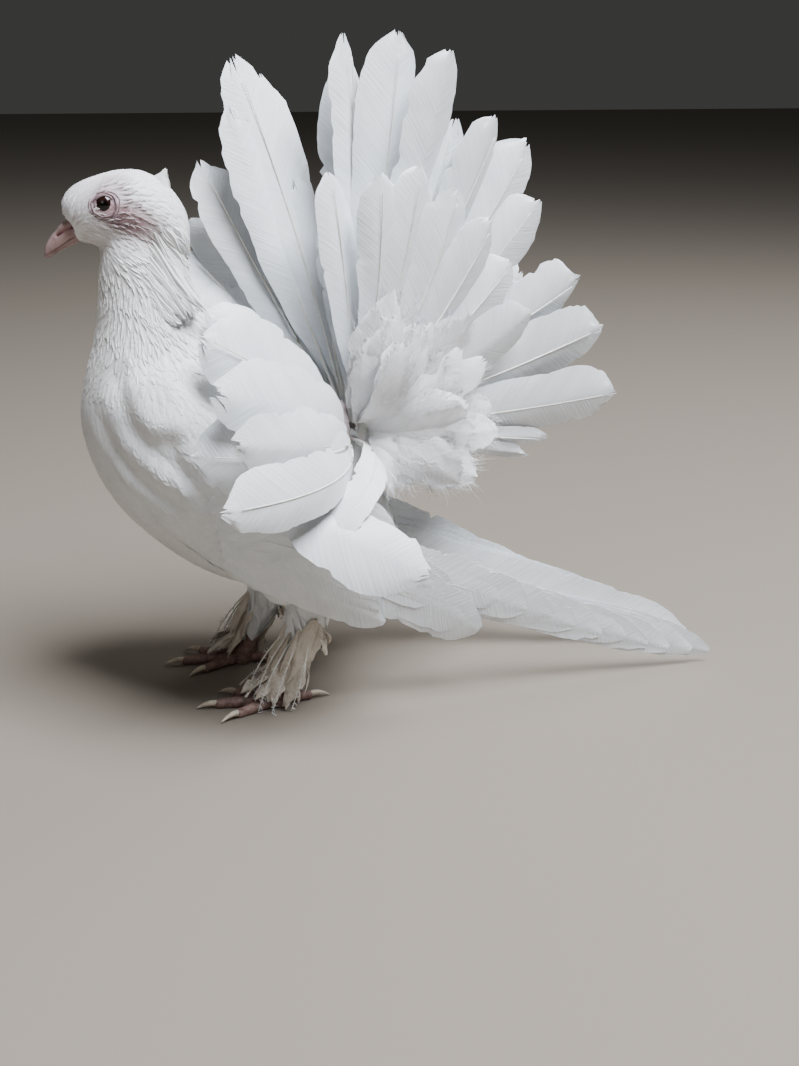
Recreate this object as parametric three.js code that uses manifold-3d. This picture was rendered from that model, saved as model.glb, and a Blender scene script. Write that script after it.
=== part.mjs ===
// A white fantail pigeon standing with its tail fan raised and turned to its left, life size.
// Millimetres, +Z up. The bird faces -Y and its left side is +X. It is drawn round a point on the floor
// midway between its feet, and the finished group is then moved so that the origin is the bottom centre
// of its box.
import * as THREE from "three";
import { mergeVertices } from "three/addons/utils/BufferGeometryUtils.js";
import Module from "manifold-3d";

const wasm = await Module();
wasm.setup();

// Driving dimensions.
const GAP = 0.3; // kept between neighbouring pieces
const VANE = 0.6; // thickness of a feather's vane
const EYE = { x: 7.6, y: -53.5, z: 209.2, ball: 5, lid: 4.25, lidTube: 0.75 };
const HEAD_TURN = 8; // degrees that the head looks to its right
const NECK_TOP_Z = 187;
const NECK_BASE_Z = 152;
const WING_LENGTH = 287;
const WING_START = [-55, 128]; // y and z of the wrist's centre line
const WING_END = [204, 6]; // y and z of the wing tip
const TAIL_ROOT = [5, 41, 114];
const FOOT_X = 25;
const FOOT_Y = { left: 6, right: -6 };

const plumage = new THREE.MeshStandardMaterial({ color: "#e9ebec", roughness: 0.75 });
const flightFeather = new THREE.MeshStandardMaterial({ color: "#f1f3f4", roughness: 0.6 });
const horn = new THREE.MeshStandardMaterial({ color: "#d9a7a3", roughness: 0.5 });
const claw = new THREE.MeshStandardMaterial({ color: "#cfc2ae", roughness: 0.45 });
const eyeDark = new THREE.MeshStandardMaterial({ color: "#1d1210", roughness: 0.08 });
const footSkin = new THREE.MeshStandardMaterial({ color: "#a85a50", roughness: 0.6 });

const radians = THREE.MathUtils.degToRad;
const vector = (x, y, z) => new THREE.Vector3(x, y, z);

// Solids

// A closed manifold-3d solid from corner points and triangles.
function solid(points, triangles) {
  const vertProperties = new Float32Array(points.flatMap((p) => [p.x, p.y, p.z]));
  const made = new wasm.Manifold(
    new wasm.Mesh({ numProp: 3, vertProperties, triVerts: new Uint32Array(triangles.flat()) }),
  );
  if (made.volume() >= 0) return made;
  const turned = triangles.map(([a, b, c]) => [a, c, b]);
  return new wasm.Manifold(
    new wasm.Mesh({ numProp: 3, vertProperties, triVerts: new Uint32Array(turned.flat()) }),
  );
}

// A closed three.js geometry as a solid.
function solidOfGeometry(geometry) {
  const bare = geometry.clone();
  bare.deleteAttribute("normal");
  bare.deleteAttribute("uv");
  const merged = mergeVertices(bare, 1e-4);
  const position = merged.getAttribute("position");
  const points = Array.from({ length: position.count }, (_, i) => vector().fromBufferAttribute(position, i));
  const index = merged.index.array;
  const triangles = Array.from({ length: index.length / 3 }, (_, i) => [...index.slice(3 * i, 3 * i + 3)]);
  return solid(points, triangles);
}

// Rings of equal count, from first to last, closed by a point at each end.
function loft(rings, first, last) {
  const n = rings[0].length;
  const points = [...rings.flat(), first, last];
  const a = rings.length * n;
  const triangles = [];
  for (let j = 0; j < n; j++) {
    const k = (j + 1) % n;
    triangles.push([a, k, j], [a + 1, (rings.length - 1) * n + j, (rings.length - 1) * n + k]);
    for (let i = 0; i + 1 < rings.length; i++)
      triangles.push([i * n + j, i * n + k, (i + 1) * n + k], [i * n + j, (i + 1) * n + k, (i + 1) * n + j]);
  }
  return solid(points, triangles);
}

// The union of several solids, reduced to its largest closed body.
function fuse(solids) {
  const bodies = solids.reduce((whole, one) => whole.add(one)).decompose();
  return bodies.reduce((best, one) => (one.volume() > best.volume() ? one : best));
}

function meshOf(name, made, material) {
  const { vertProperties, triVerts } = made.getMesh();
  const geometry = new THREE.BufferGeometry()
    .setAttribute("position", new THREE.BufferAttribute(vertProperties, 3))
    .setIndex(new THREE.BufferAttribute(triVerts, 1));
  geometry.computeVertexNormals();
  const mesh = new THREE.Mesh(geometry, material);
  mesh.name = name;
  return mesh;
}

// A big box standing on a plane, for parting the body: everything on the side that normal points to.
function beyond(point, normal, size = 400) {
  const block = new THREE.BoxGeometry(size, size, size).translate(0, 0, size / 2);
  const turn = new THREE.Quaternion().setFromUnitVectors(vector(0, 0, 1), normal.clone().normalize());
  block.applyQuaternion(turn).translate(point.x, point.y, point.z);
  return solidOfGeometry(block);
}

// A smooth value through named stations [where, value].
function smooth(stations) {
  const curve = (x) => {
    const last = stations.length - 1;
    if (x <= stations[0][0]) return stations[0][1];
    if (x >= stations[last][0]) return stations[last][1];
    const i = stations.findIndex(([at]) => at > x) - 1;
    const slope = (k) => {
      const [a, b] = [stations[Math.max(k - 1, 0)], stations[Math.min(k + 1, last)]];
      return (b[1] - a[1]) / (b[0] - a[0]);
    };
    const [x0, y0] = stations[i];
    const [x1, y1] = stations[i + 1];
    const d = x1 - x0;
    const t = (x - x0) / d;
    return (
      y0 * (1 + 2 * t) * (1 - t) ** 2 +
      slope(i) * d * t * (1 - t) ** 2 +
      y1 * t * t * (3 - 2 * t) +
      slope(i + 1) * d * t * t * (t - 1)
    );
  };
  return curve;
}

// A body of rings on a bent midline. Each station is [y, z, angle, half depth, half width]; the angle is
// the midline's direction in the Y-Z plane, in degrees.
function trunk(stations, rings, sides) {
  const last = stations.length - 1;
  const column = (k) => smooth(stations.map((row, i) => [i, row[k] ?? 0]));
  const [y, z, angle, depth, width, x] = [0, 1, 2, 3, 4, 5].map(column);
  const made = Array.from({ length: rings }, (_, i) => {
    const u = (last * i) / (rings - 1);
    const a = radians(angle(u));
    return Array.from({ length: sides }, (_, j) => {
      const f = (2 * Math.PI * j) / sides;
      const [across, up] = [x(u) + width(u) * Math.cos(f), depth(u) * Math.sin(f)];
      return vector(across, y(u) - up * Math.sin(a), z(u) + up * Math.cos(a));
    });
  });
  const middle = (ring) => ring.reduce((sum, p) => sum.add(p), vector(0, 0, 0)).divideScalar(sides);
  return loft(made, middle(made[0]), middle(made[rings - 1]));
}

function turnedHead(made) {
  const pivot = [0, -42, 0];
  return made
    .translate(pivot.map((v) => -v))
    .rotate([0, 0, -HEAD_TURN])
    .translate(pivot);
}

// Feathers

// A vane's half width along its length, as a share of the full half width.
const vaneOutline = smooth([
  [0, 0.1], [0.16, 0.12], [0.3, 0.5], [0.5, 0.86], [0.75, 1], [0.9, 0.86], [1, 0.45],
]);
const pointedOutline = smooth([[0, 0.16], [0.15, 0.5], [0.35, 0.95], [0.6, 1], [0.85, 0.66], [1, 0.12]]);
const roundOutline = smooth([[0, 0.3], [0.25, 0.8], [0.6, 1], [0.85, 0.85], [1, 0.35]]);

// One closed feather from a list of places along its shaft. place(u) gives the shaft's point and its side
// and face directions. share is the part of the width that lies on the side direction. A feather with no
// shaft is flat, of four corners across.
function feather({ place, width, outline, cuts, share = 0.5, shaft = 0, camber = 0.08 }) {
  const rows = cuts.map((u) => {
    const { point, side, face } = place(u);
    const w = width * outline(u);
    const at = (s, h) => point.clone().addScaledVector(side, s).addScaledVector(face, h);
    const [right, left] = [w * share, -w * (1 - share)];
    const drop = shaft ? -camber * w * 0.5 : 0;
    const ridge = VANE / 2 + shaft * Math.max(0, 1 - u) ** 1.5;
    const top = [at(left, drop + VANE / 2), at(right, drop + VANE / 2)];
    const bottom = [at(right, drop - VANE / 2), at(left, drop - VANE / 2)];
    return shaft ? [top[0], at(0, ridge), top[1], bottom[0], at(0, -ridge), bottom[1]] : [...top, ...bottom];
  });
  const n = rows[0].length;
  const triangles = [];
  for (let i = 0; i + 1 < rows.length; i++)
    for (let k = 0; k < n; k++) {
      const [p, q, p1, q1] = [n * i + k, n * (i + 1) + k, n * i + ((k + 1) % n), n * (i + 1) + ((k + 1) % n)];
      if (k < n / 2) triangles.push([p, p1, q1], [p, q1, q]);
      else triangles.push([p, p1, q], [p1, q1, q]);
    }
  const caps = shaft ? [[0, 1, 5], [1, 4, 5], [1, 2, 4], [2, 3, 4]] : [[0, 1, 3], [1, 2, 3]];
  const end = n * (rows.length - 1);
  for (const [a, b, c] of caps) triangles.push([a, c, b], [end + a, end + b, end + c]);
  return solid(rows.flat(), triangles);
}

// The places along a bent shaft from root to tip. bow moves its middle along the face direction and sweep
// moves it sideways; roll turns the vane about the shaft, in degrees.
function shaftPlaces(root, tip, faceHint, { bow = 0, sweep = 0, roll = 0 }) {
  const along = tip.clone().sub(root).normalize();
  const side0 = along.clone().cross(faceHint).normalize();
  const face0 = side0.clone().cross(along).normalize();
  const middle = root.clone().lerp(tip, 0.5);
  middle.addScaledVector(face0, 2 * bow).addScaledVector(side0, 2 * sweep);
  const curve = new THREE.QuadraticBezierCurve3(root, middle, tip);
  return (u) => {
    const tangent = curve.getTangent(u);
    const side = tangent.clone().cross(faceHint).normalize().applyAxisAngle(tangent, radians(roll));
    return { point: curve.getPoint(u), side, face: side.clone().cross(tangent).normalize() };
  };
}

// Head

const HEAD_STATIONS = [
  [-71.9, 206.3, 0, 3, 3.6],
  [-71, 206.1, 0, 6.3, 6.2],
  [-66.8, 206, 0, 10.5, 9.6],
  [-59.5, 205.8, 0, 13.8, 12.2],
  [-50, 205.5, 0, 16.6, 13.3],
  [-42, 204.6, 0, 17.7, 13.8],
  [-34, 202.4, 0, 16.6, 13],
  [-28, 199.8, 0, 13.8, 11],
  [-24, 197.5, 0, 9.4, 7.6],
  [-22.6, 197, 0, 4, 3.4],
];

// Neck and torso in one, from inside the head to the rump: y, z, direction, half depth, half width.
const TRUNK_STATIONS = [
  [-43, 203, -90, 12, 11],
  [-43, 188, -90, 16, 15.5],
  [-41, 172, -88, 19.5, 18.5],
  [-38.5, 156, -82, 25.5, 24],
  [-38.7, 134.8, -66, 35, 33],
  [-28, 112, -52, 39.5, 37.5],
  [-7, 90.5, -42, 39, 38.5],
  [12.5, 76, -38, 34.5, 36],
  [32, 68, -36, 31, 30],
  [47, 60, -34, 22, 21],
  [58, 53, -34, 11, 11],
];

const headBlock = trunk(HEAD_STATIONS, 13, 20);
const trunkBlock = trunk(TRUNK_STATIONS, 18, 22);

function eyeball(side, extra = 0) {
  const ball = new THREE.SphereGeometry(EYE.ball + extra, 12, 9).rotateZ(Math.PI / 2);
  return solidOfGeometry(ball.translate(side * EYE.x, EYE.y, EYE.z));
}

function eyelid(side) {
  const ring = new THREE.TorusGeometry(EYE.lid, EYE.lidTube, 5, 14).rotateY(Math.PI / 2);
  ring.rotateZ(side * radians(-9)).rotateY(side * radians(-12));
  return solidOfGeometry(ring.translate(side * (EYE.x + 3.4), EYE.y, EYE.z));
}

// The small peak of feathers at the back of the crown.
function crest() {
  const rows = [
    [0, -41, 216, 14, 36, 11],
    [3.6, -39, 214, 12, 30, 9],
    [-3.6, -39, 214, 12, 30, 9],
    [2, -35, 209.5, 11, 12, 10],
  ];
  return rows.map(([x, y, z, length, rise, width]) => {
    const a = radians(rise);
    const root = vector(x * 0.9, y, z);
    const heading = vector(x * 0.3, Math.cos(a), Math.sin(a)).normalize();
    const tip = root.clone().addScaledVector(heading, length);
    return feather({
      place: shaftPlaces(root, tip, vector(x * 0.2, -Math.sin(a), Math.cos(a)), { bow: 0.8 }),
      width, outline: pointedOutline, cuts: [0, 0.5, 1],
    });
  });
}

// The bill: rings from the face to the tip, drooping. Upper and lower halves part at the mouth line.
const BILL_STATIONS = [
  [-61, 200.6, 28, 4.4, 5.4],
  [-67, 198.2, 32, 4.6, 4.4],
  [-71.8, 195.6, 38, 4.2, 3.5],
  [-75.6, 192.6, 48, 3.3, 2.7],
  [-78.3, 189.6, 60, 2, 1.7],
  [-79.6, 187.6, 68, 0.7, 0.7],
];
const MOUTH = { from: vector(0, -63.5, 198.3), slope: 31.5 };

function billBlock() {
  const rows = BILL_STATIONS.map(([y, z, a, depth, width]) => [y, z, 180 + a, depth, width]);
  return trunk(rows, 10, 12);
}

// The swollen cere over each nostril.
function cere(side) {
  const bulge = new THREE.SphereGeometry(1, 8, 6).scale(2.1, 4.2, 2.5).rotateX(radians(38));
  return solidOfGeometry(bulge.translate(side * 1.5, -70.6, 199.6));
}

function nostril(side) {
  const slit = new THREE.SphereGeometry(1, 8, 6).scale(0.8, 3, 0.55).rotateX(radians(44));
  return solidOfGeometry(slit.translate(side * 3.5, -71.4, 196.9));
}

// Wings. A wing lies on a sheet: s runs from the wrist to the tip, t across it towards the back.

const wingAxis = new THREE.Vector2(WING_END[0] - WING_START[0], WING_END[1] - WING_START[1]).normalize();
const wingBulge = smooth([
  [0, 24], [12, 30], [30, 35.5], [60, 39], [90, 37.2], [120, 32], [160, 25], [220, 17], [287, 11],
]);
const wingMiddle = smooth([
  [0, 2], [34, 1], [61, -8], [84, -14], [104, -17], [140, -20], [200, -14], [287, -2],
]);
const upperEdge = smooth([[0, 14], [8, 26], [24, 33], [50, 26], [77, 12], [110, -2], [140, -12]]);
const lowerEdge = smooth([[0, -4], [8, -20], [24, -31], [58, -41], [82, -44], [110, -42], [140, -38]]);

function sheetX(s, t) {
  return wingBulge(s) * (1 - 0.3 * ((t - wingMiddle(s)) / 40) ** 2);
}

function onSheet(side, s, t, lift) {
  const y = WING_START[0] + s * wingAxis.x - t * wingAxis.y;
  const z = WING_START[1] + s * wingAxis.y + t * wingAxis.x;
  return vector(side * (sheetX(s, t) + lift), y, z);
}

// A closed pillow on the sheet between two lifts, over the wing's outline from s = 0 to the given length.
function pillow(side, length, inner, outer, grow = 0) {
  const [rows, columns] = [10, 8];
  const points = [];
  for (const lift of [inner, outer])
    for (let i = 0; i <= rows; i++)
      for (let j = 0; j <= columns; j++) {
        const s = length * (i / rows) ** 1.3 - grow;
        const share = 0.5 - 0.5 * Math.cos((Math.PI * j) / columns);
        const low = lowerEdge(s) - grow;
        const t = low + (upperEdge(s) + grow - low) * share;
        points.push(onSheet(side, s, t, lift(s, share)));
      }
  const at = (layer, i, j) => layer * (rows + 1) * (columns + 1) + i * (columns + 1) + j;
  const triangles = [];
  const quad = (a, b, c, d) => triangles.push([a, b, c], [a, c, d]);
  for (let i = 0; i < rows; i++)
    for (let j = 0; j < columns; j++) {
      quad(at(0, i, j), at(0, i + 1, j), at(0, i + 1, j + 1), at(0, i, j + 1));
      quad(at(1, i, j), at(1, i, j + 1), at(1, i + 1, j + 1), at(1, i + 1, j));
    }
  for (let i = 0; i < rows; i++) {
    quad(at(0, i, 0), at(1, i, 0), at(1, i + 1, 0), at(0, i + 1, 0));
    quad(at(0, i, columns), at(0, i + 1, columns), at(1, i + 1, columns), at(1, i, columns));
  }
  for (let j = 0; j < columns; j++) {
    quad(at(0, 0, j), at(0, 0, j + 1), at(1, 0, j + 1), at(1, 0, j));
    quad(at(0, rows, j), at(1, rows, j), at(1, rows, j + 1), at(0, rows, j + 1));
  }
  return solid(points, triangles);
}

const wingThickness = smooth([[0, 2.5], [10, 7], [30, 9.5], [70, 8.5], [100, 6.5], [135, 3.4]]);
const COVERT_END = 135;

function wingBlock(side) {
  const bulge = (s, share) => 0.9 + wingThickness(s) * Math.sqrt(Math.max(0, 1 - (2 * share - 1) ** 2));
  return pillow(side, COVERT_END, () => 0, bulge);
}

// The hollow that the wing lies in, cut from the torso.
function wingBed(side) {
  return pillow(side, COVERT_END + 4, () => -3 * GAP, () => 60, 6);
}

// A feather that lies on the sheet, from s0, t0 to s1, t1. lift is its height over the sheet.
function wingFeather(side, [s0, t0], [s1, t1], width, lift, tilt, outline, cuts, share = 0.5) {
  const curve = new THREE.QuadraticBezierCurve(
    new THREE.Vector2(s0, t0),
    new THREE.Vector2((s0 + s1) / 2, (t0 + t1) / 2 + 0.03 * (s1 - s0)),
    new THREE.Vector2(s1, t1),
  );
  const place = (u) => {
    const p = curve.getPoint(u);
    const d = curve.getTangent(u);
    const here = (a) => {
      const [s, t] = [p.x + d.y * a, p.y - d.x * a];
      return onSheet(side, s, t, lift(u) + tilt * a);
    };
    const [left, right] = [here(-4), here(4)];
    const sideways = right.clone().sub(left).normalize();
    const ahead = curve.getPoint(Math.min(1, u + 0.02));
    const behind = curve.getPoint(Math.max(0, u - 0.02));
    const tangent = onSheet(side, ahead.x, ahead.y, 0).sub(onSheet(side, behind.x, behind.y, 0));
    const face = sideways.clone().cross(tangent).normalize();
    return { point: here(0), side: sideways, face };
  };
  return feather({ place, width, outline, cuts, share });
}

function wing(side) {
  const pieces = [wingBlock(side)];
  const primaries = 7;
  for (let k = 0; k < primaries; k++) {
    const f = k / (primaries - 1);
    pieces.push(
      wingFeather(
        side,
        [70 + 22 * f, -34 + 18 * f],
        [287 - 108 * f ** 1.15, -1.5 - 22 * f + 12 * f * f],
        17 + 3 * f,
        (u) => 2.2 + 4 * f * (1 - 0.3 * u),
        -0.2,
        vaneOutline,
        [0, 0.3, 0.5, 0.7, 0.9, 1],
        0.4,
      ),
    );
  }
  const secondaries = 7;
  for (let k = 0; k < secondaries; k++) {
    const f = k / (secondaries - 1);
    pieces.push(
      wingFeather(
        side,
        [62 - 24 * f, -18 + 27 * f],
        [176 - 60 * f, -27 + 24 * f],
        24,
        (u) => 5.6 + 0.35 * k + 1.5 * (1 - u),
        -0.2,
        vaneOutline,
        [0, 0.35, 0.65, 0.9, 1],
      ),
    );
  }
  const coverts = 6;
  for (let k = 0; k < coverts; k++) {
    const f = k / (coverts - 1);
    pieces.push(
      wingFeather(
        side,
        [62 - 30 * f, -34 + 46 * f],
        [132 - 56 * f, -34 + 44 * f],
        19,
        (u) => 7.6 + 1.2 * Math.sin(Math.PI * f) - 0.6 * u,
        -0.16,
        roundOutline,
        [0, 0.4, 0.8, 1],
      ),
    );
  }
  return fuse(pieces);
}

// Tail

// The fan's own axes: out is the side of the feathers' undersides, which the bird turns to its left rear.
const FAN_TURN = 33; // degrees from the bird's left side towards its rear that the underside faces
const fanOut = vector(Math.cos(radians(FAN_TURN)), Math.sin(radians(FAN_TURN)), 0);
const fanRight = vector(-fanOut.y, fanOut.x, 0);
const fanUp = vector(0, 0, 1);

// A point of the fan: clock is degrees from straight up, positive to the right seen from the underside;
// lean is degrees out of the fan's plane towards its underside.
function fanPoint(clock, distance, lean, out = 0) {
  const [c, l] = [radians(clock), radians(lean)];
  return vector(...TAIL_ROOT)
    .addScaledVector(fanRight, distance * Math.sin(c) * Math.cos(l))
    .addScaledVector(fanUp, distance * Math.cos(c) * Math.cos(l))
    .addScaledVector(fanOut, distance * Math.sin(l) + out);
}

// One row for each tail feather: clock, length, lean, width and bow. The bow carries a feather's middle
// out, so that those on the bird's left pass over the wing.
const LONG_TAIL_FEATHERS = [
  [-95, 102, 22, 26, 22, 0, 10],
  [-80, 93, 21, 24, 18],
  [-86, 88, 6, 35, 31, 0, 8],
  [-56, 87, -1, 33, 12],
  [-69, 87, 11, 33, 20],
  [-36, 86, -25, 16, 1],
  [-26, 108, -25, 20, 0],
  [-22, 124, -17, 24, 1],
  [-16, 138, -12, 25, 1],
  [-11, 155, -12, 27, 2],
  [-6, 147, -13, 24, 0],
  [1, 158, 0, 19, 3],
  [8, 161, 3, 28, 3],
  [14, 158, 7, 28, 3],
  [20, 134, 7, 28, 3],
  [28, 143, 9, 30, 3],
  [37, 145, 8, 30, 3],
  [46, 131, 9, 31, 3],
  [55, 106, 10, 30, 3],
  [66, 134, 10, 30, 3],
  [77, 138, 11, 31, 3],
  [90, 140, 13, 28, 3],
  [100, 106, 10, 9, 3],
];
const SHORT_TAIL_FEATHERS = [
  [-9, 109, 3, 24, 4],
  [-1, 108, 10, 22, 4],
  [9, 112, 11, 22, 4],
  [20, 108, 13, 24, 4],
  [35, 103, 15, 24, 4],
  [54, 94, 15, 24, 4],
];
// Two feathers that hang below the fan, over the left wing, with a sideways sweep and a roll as well.
const HANGING_FEATHERS = [
  [-158, 80, 56, 29, 7, 30, 0],
  [-122, 70, 36, 17, 16, 5, 45],
];
const TAIL_KNOB = { x: 4, y: 40, z: 106, radius: 13, height: 16 };

const fanRoot = vector(...TAIL_ROOT);

function tailFeather([clock, length, lean, width, bow, sweep = 0, roll = 0], out) {
  const root = fanPoint(clock, 6, lean * 0.5, out);
  const tip = fanPoint(clock, length, lean, out);
  return feather({
    place: shaftPlaces(root, tip, fanOut, { bow, sweep, roll }),
    width, outline: vaneOutline, cuts: [0, 0.2, 0.42, 0.72, 1], shaft: 1.1, camber: 0.1,
  });
}

function tailKnob(grow = 0) {
  const { x, y, z, radius, height } = TAIL_KNOB;
  const ball = new THREE.SphereGeometry(1, 20, 14);
  return solidOfGeometry(ball.scale(radius + grow, radius + grow, height + grow).translate(x, y, z));
}

function tail() {
  return fuse([
    tailKnob(),
    ...LONG_TAIL_FEATHERS.map((row) => tailFeather(row, -1)),
    ...SHORT_TAIL_FEATHERS.map((row) => tailFeather(row, 4)),
    ...HANGING_FEATHERS.map((row) => tailFeather(row, 0)),
  ]);
}

// Legs and feet

// Down a leg from inside the belly: y, z, direction, half depth, half width, x.
const LEG_STATIONS = [
  [20, 62, -100, 12, 9, 20],
  [17, 50, -104, 12, 9.2, 20.5],
  [13, 36, -108, 9.5, 8.2, 22],
  [8, 22, -110, 6.5, 6.2, 24],
  [3, 12, -104, 4.9, 4.9, 25],
  [0.5, 6.5, -91, 4.6, 4.6, FOOT_X],
];
const TOE = { thick: 3, thin: 2.1, middle: 27, inner: 21, outer: 22, hind: 15, spread: 32 };
const CLAW = { length: 8, thick: 1.35 };
const FOOT_TOP = LEG_STATIONS[5][1] - 1.5 * GAP;

function standing(side, made) {
  const y = side > 0 ? FOOT_Y.left : FOOT_Y.right;
  return (side > 0 ? made : made.mirror([1, 0, 0])).translate([0, y, 0]);
}

// A round rod through points, with a radius at each.
function rod(points, radii, sides = 8) {
  const rings = points.map((p, i) => {
    const before = points[Math.max(0, i - 1)];
    const after = points[Math.min(points.length - 1, i + 1)];
    const along = after.clone().sub(before).normalize();
    const across = along.clone().cross(vector(0, 0, 1)).normalize();
    const up = across.clone().cross(along);
    return Array.from({ length: sides }, (_, j) => {
      const a = (2 * Math.PI * (j + 0.5)) / sides;
      const arm = across.clone().multiplyScalar(radii[i] * Math.cos(a));
      return p.clone().add(arm).addScaledVector(up, radii[i] * Math.sin(a));
    });
  });
  return loft(rings, points[0].clone(), points[points.length - 1].clone());
}

const toes = [
  { name: "middle", turn: 0, length: TOE.middle },
  { name: "inner", turn: TOE.spread, length: TOE.inner },
  { name: "outer", turn: -TOE.spread, length: TOE.outer },
  { name: "hind", turn: 168, length: TOE.hind },
];

function toeLine({ turn, length }) {
  const a = radians(turn);
  const heading = vector(-Math.sin(a), -Math.cos(a), 0);
  const at = (distance, z) => vector(FOOT_X, 0, z).addScaledVector(heading, distance);
  return { at, length };
}

function toeRod(toe) {
  const { at, length } = toeLine(toe);
  const stops = [0, 0.33, 0.66, 0.94, 1];
  const swell = [1, 0.95, 0.95, 0.88, 0.5];
  const radius = (f) => TOE.thick + (TOE.thin - TOE.thick) * f;
  const radii = stops.map((f, i) => radius(f) * swell[i]);
  return rod(stops.map((f) => at(4 + (length - 4) * f, 0.82 * radius(f))), radii, 7);
}

function clawRod(toe, grow = 0) {
  const { at, length } = toeLine(toe);
  const stops = [-2 - 1.2 * grow, 1.5, 4.5, CLAW.length];
  const heights = [2.1, 2.5, 2, 0.55];
  const radii = [1, 0.92, 0.66, 0.22].map((f) => CLAW.thick * f + 1.35 * grow);
  return rod(stops.map((d, i) => at(length + d, heights[i])), radii, 6);
}

function foot(side) {
  const pad = new THREE.SphereGeometry(1, 10, 6).scale(5.4, 5.8, 5).translate(FOOT_X, 0, 3.2);
  const whole = fuse([solidOfGeometry(pad), ...toes.map(toeRod)]);
  const claws = toes.map((toe) => clawRod(toe, GAP)).reduce((all, one) => all.add(one));
  const above = beyond(vector(0, 0, 0), vector(0, 0, 1));
  const under = beyond(vector(0, 0, FOOT_TOP), vector(0, 0, -1));
  return standing(side, fuse([whole.subtract(claws).intersect(above).intersect(under)]));
}

// The long narrow feathers that hang from a leg, in two tiers of [root height, reach, tip height]. A heading
// is in degrees round the leg from straight out towards the rear. Those over the toes end above them.
const MUFF = { count: 6, first: -95, last: 80, width: 9, tiers: [[34, 12, 9], [21, 13, 2.6]] };

function muff(side) {
  const vanes = [];
  for (let k = 0; k < MUFF.count; k++)
    MUFF.tiers.forEach(([height, reach, low], tier) => {
      const turn = MUFF.first + ((MUFF.last - MUFF.first) * (k + 0.5 * tier)) / (MUFF.count - 0.5);
      const heading = vector(Math.cos(radians(turn)), Math.sin(radians(turn)), 0);
      const overToe = turn < -25;
      const root = vector(23.8, 0.34 * height + 0.5, height).addScaledVector(heading, 2.5);
      const tip = vector(24.3, 1, overToe ? 8 + 0.3 * low : low);
      tip.addScaledVector(heading, overToe ? reach + 7 : reach + 2 * Math.sin(3 * k));
      vanes.push(
        feather({
          place: shaftPlaces(root, tip, heading.clone().setZ(0.6), { bow: 2.5 }),
          width: MUFF.width, outline: pointedOutline, cuts: [0, 0.5, 1],
        }),
      );
    });
  return vanes;
}

function leg(side) {
  return standing(side, fuse([trunk(LEG_STATIONS, 12, 14), ...muff(side)]));
}

// Assembly

const bird = new THREE.Group();

const lids = [1, -1].map(eyelid);
const balls = [1, -1].map((side) => turnedHead(eyeball(side)));
const sockets = [1, -1].map((side) => turnedHead(eyeball(side, GAP)));
const bill = turnedHead(billBlock());
const mouthSlope = radians(MOUTH.slope);
const mouth = turnedHead(beyond(MOUTH.from, vector(0, -Math.sin(mouthSlope), Math.cos(mouthSlope))));
const belowMouth = mouth.translate([0, 0, -GAP]);
const upperBill = fuse([bill, ...[1, -1].map((side) => turnedHead(cere(side)))])
  .subtract([1, -1].map((side) => turnedHead(nostril(side))).reduce((a, b) => a.add(b)));
const headCut = beyond(vector(0, 0, NECK_TOP_Z), vector(0, 0.25, 1));
const neckUnderHead = beyond(vector(0, 0, NECK_TOP_Z - GAP), vector(0, -0.25, -1));
const neckOverTorso = beyond(vector(0, 0, NECK_BASE_Z + GAP), vector(0, 0.35, 1));
const torsoUnderNeck = beyond(vector(0, 0, NECK_BASE_Z), vector(0, -0.35, -1));

const wholeHead = fuse([
  turnedHead(fuse([headBlock, ...lids, ...crest()])),
  trunkBlock.intersect(headCut),
]);
const head = fuse([sockets.reduce((made, socket) => made.subtract(socket), wholeHead)]);
bird.add(meshOf("head", head, plumage));
balls.forEach((ball, i) => bird.add(meshOf(["eye_left", "eye_right"][i], ball, eyeDark)));

const upper = fuse([upperBill.intersect(mouth).subtract(headBlockGrown())]);
const lower = fuse([bill.subtract(belowMouth).subtract(headBlockGrown())]);
function headBlockGrown() {
  const grown = HEAD_STATIONS.map(([y, z, a, depth, width]) => [y, z, a, depth + 2 * GAP, width + 2 * GAP]);
  grown[0][0] -= 2 * GAP;
  return turnedHead(trunk(grown, 13, 20));
}
bird.add(meshOf("bill_upper", upper, horn), meshOf("bill_lower", lower, horn));

const neck = fuse([trunkBlock.intersect(neckUnderHead).intersect(neckOverTorso).subtract(headBlockGrown())]);
bird.add(meshOf("neck", neck, plumage));

const beds = [1, -1].map(wingBed);
const torso = fuse([
  [...beds, tailKnob(GAP)].reduce((made, cut) => made.subtract(cut), trunkBlock.intersect(torsoUnderNeck)),
]);
bird.add(meshOf("torso", torso, plumage));
bird.add(meshOf("wing_left", wing(1), flightFeather), meshOf("wing_right", wing(-1), flightFeather));
bird.add(meshOf("tail", tail(), flightFeather));

const grownStations = TRUNK_STATIONS.map(([y, z, a, depth, width]) => {
  return [y, z, a, depth + 1.3 * GAP, width + 1.3 * GAP];
});
const trunkGrown = trunk(grownStations, 18, 22);
for (const [side, word] of [[1, "left"], [-1, "right"]]) {
  bird.add(meshOf(`leg_${word}`, fuse([leg(side).subtract(trunkGrown)]), plumage));
  bird.add(meshOf(`foot_${word}`, foot(side), footSkin));
  for (const toe of toes) bird.add(meshOf(`claw_${word}_${toe.name}`, standing(side, clawRod(toe)), claw));
}

const box = new THREE.Box3().setFromObject(bird);
const middle = box.getCenter(new THREE.Vector3());
bird.position.set(-middle.x, -middle.y, -box.min.z);
bird.updateMatrixWorld(true);

export default bird;
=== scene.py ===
import math

import bpy
import numpy as np
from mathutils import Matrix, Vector
from mathutils.bvhtree import BVHTree


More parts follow.
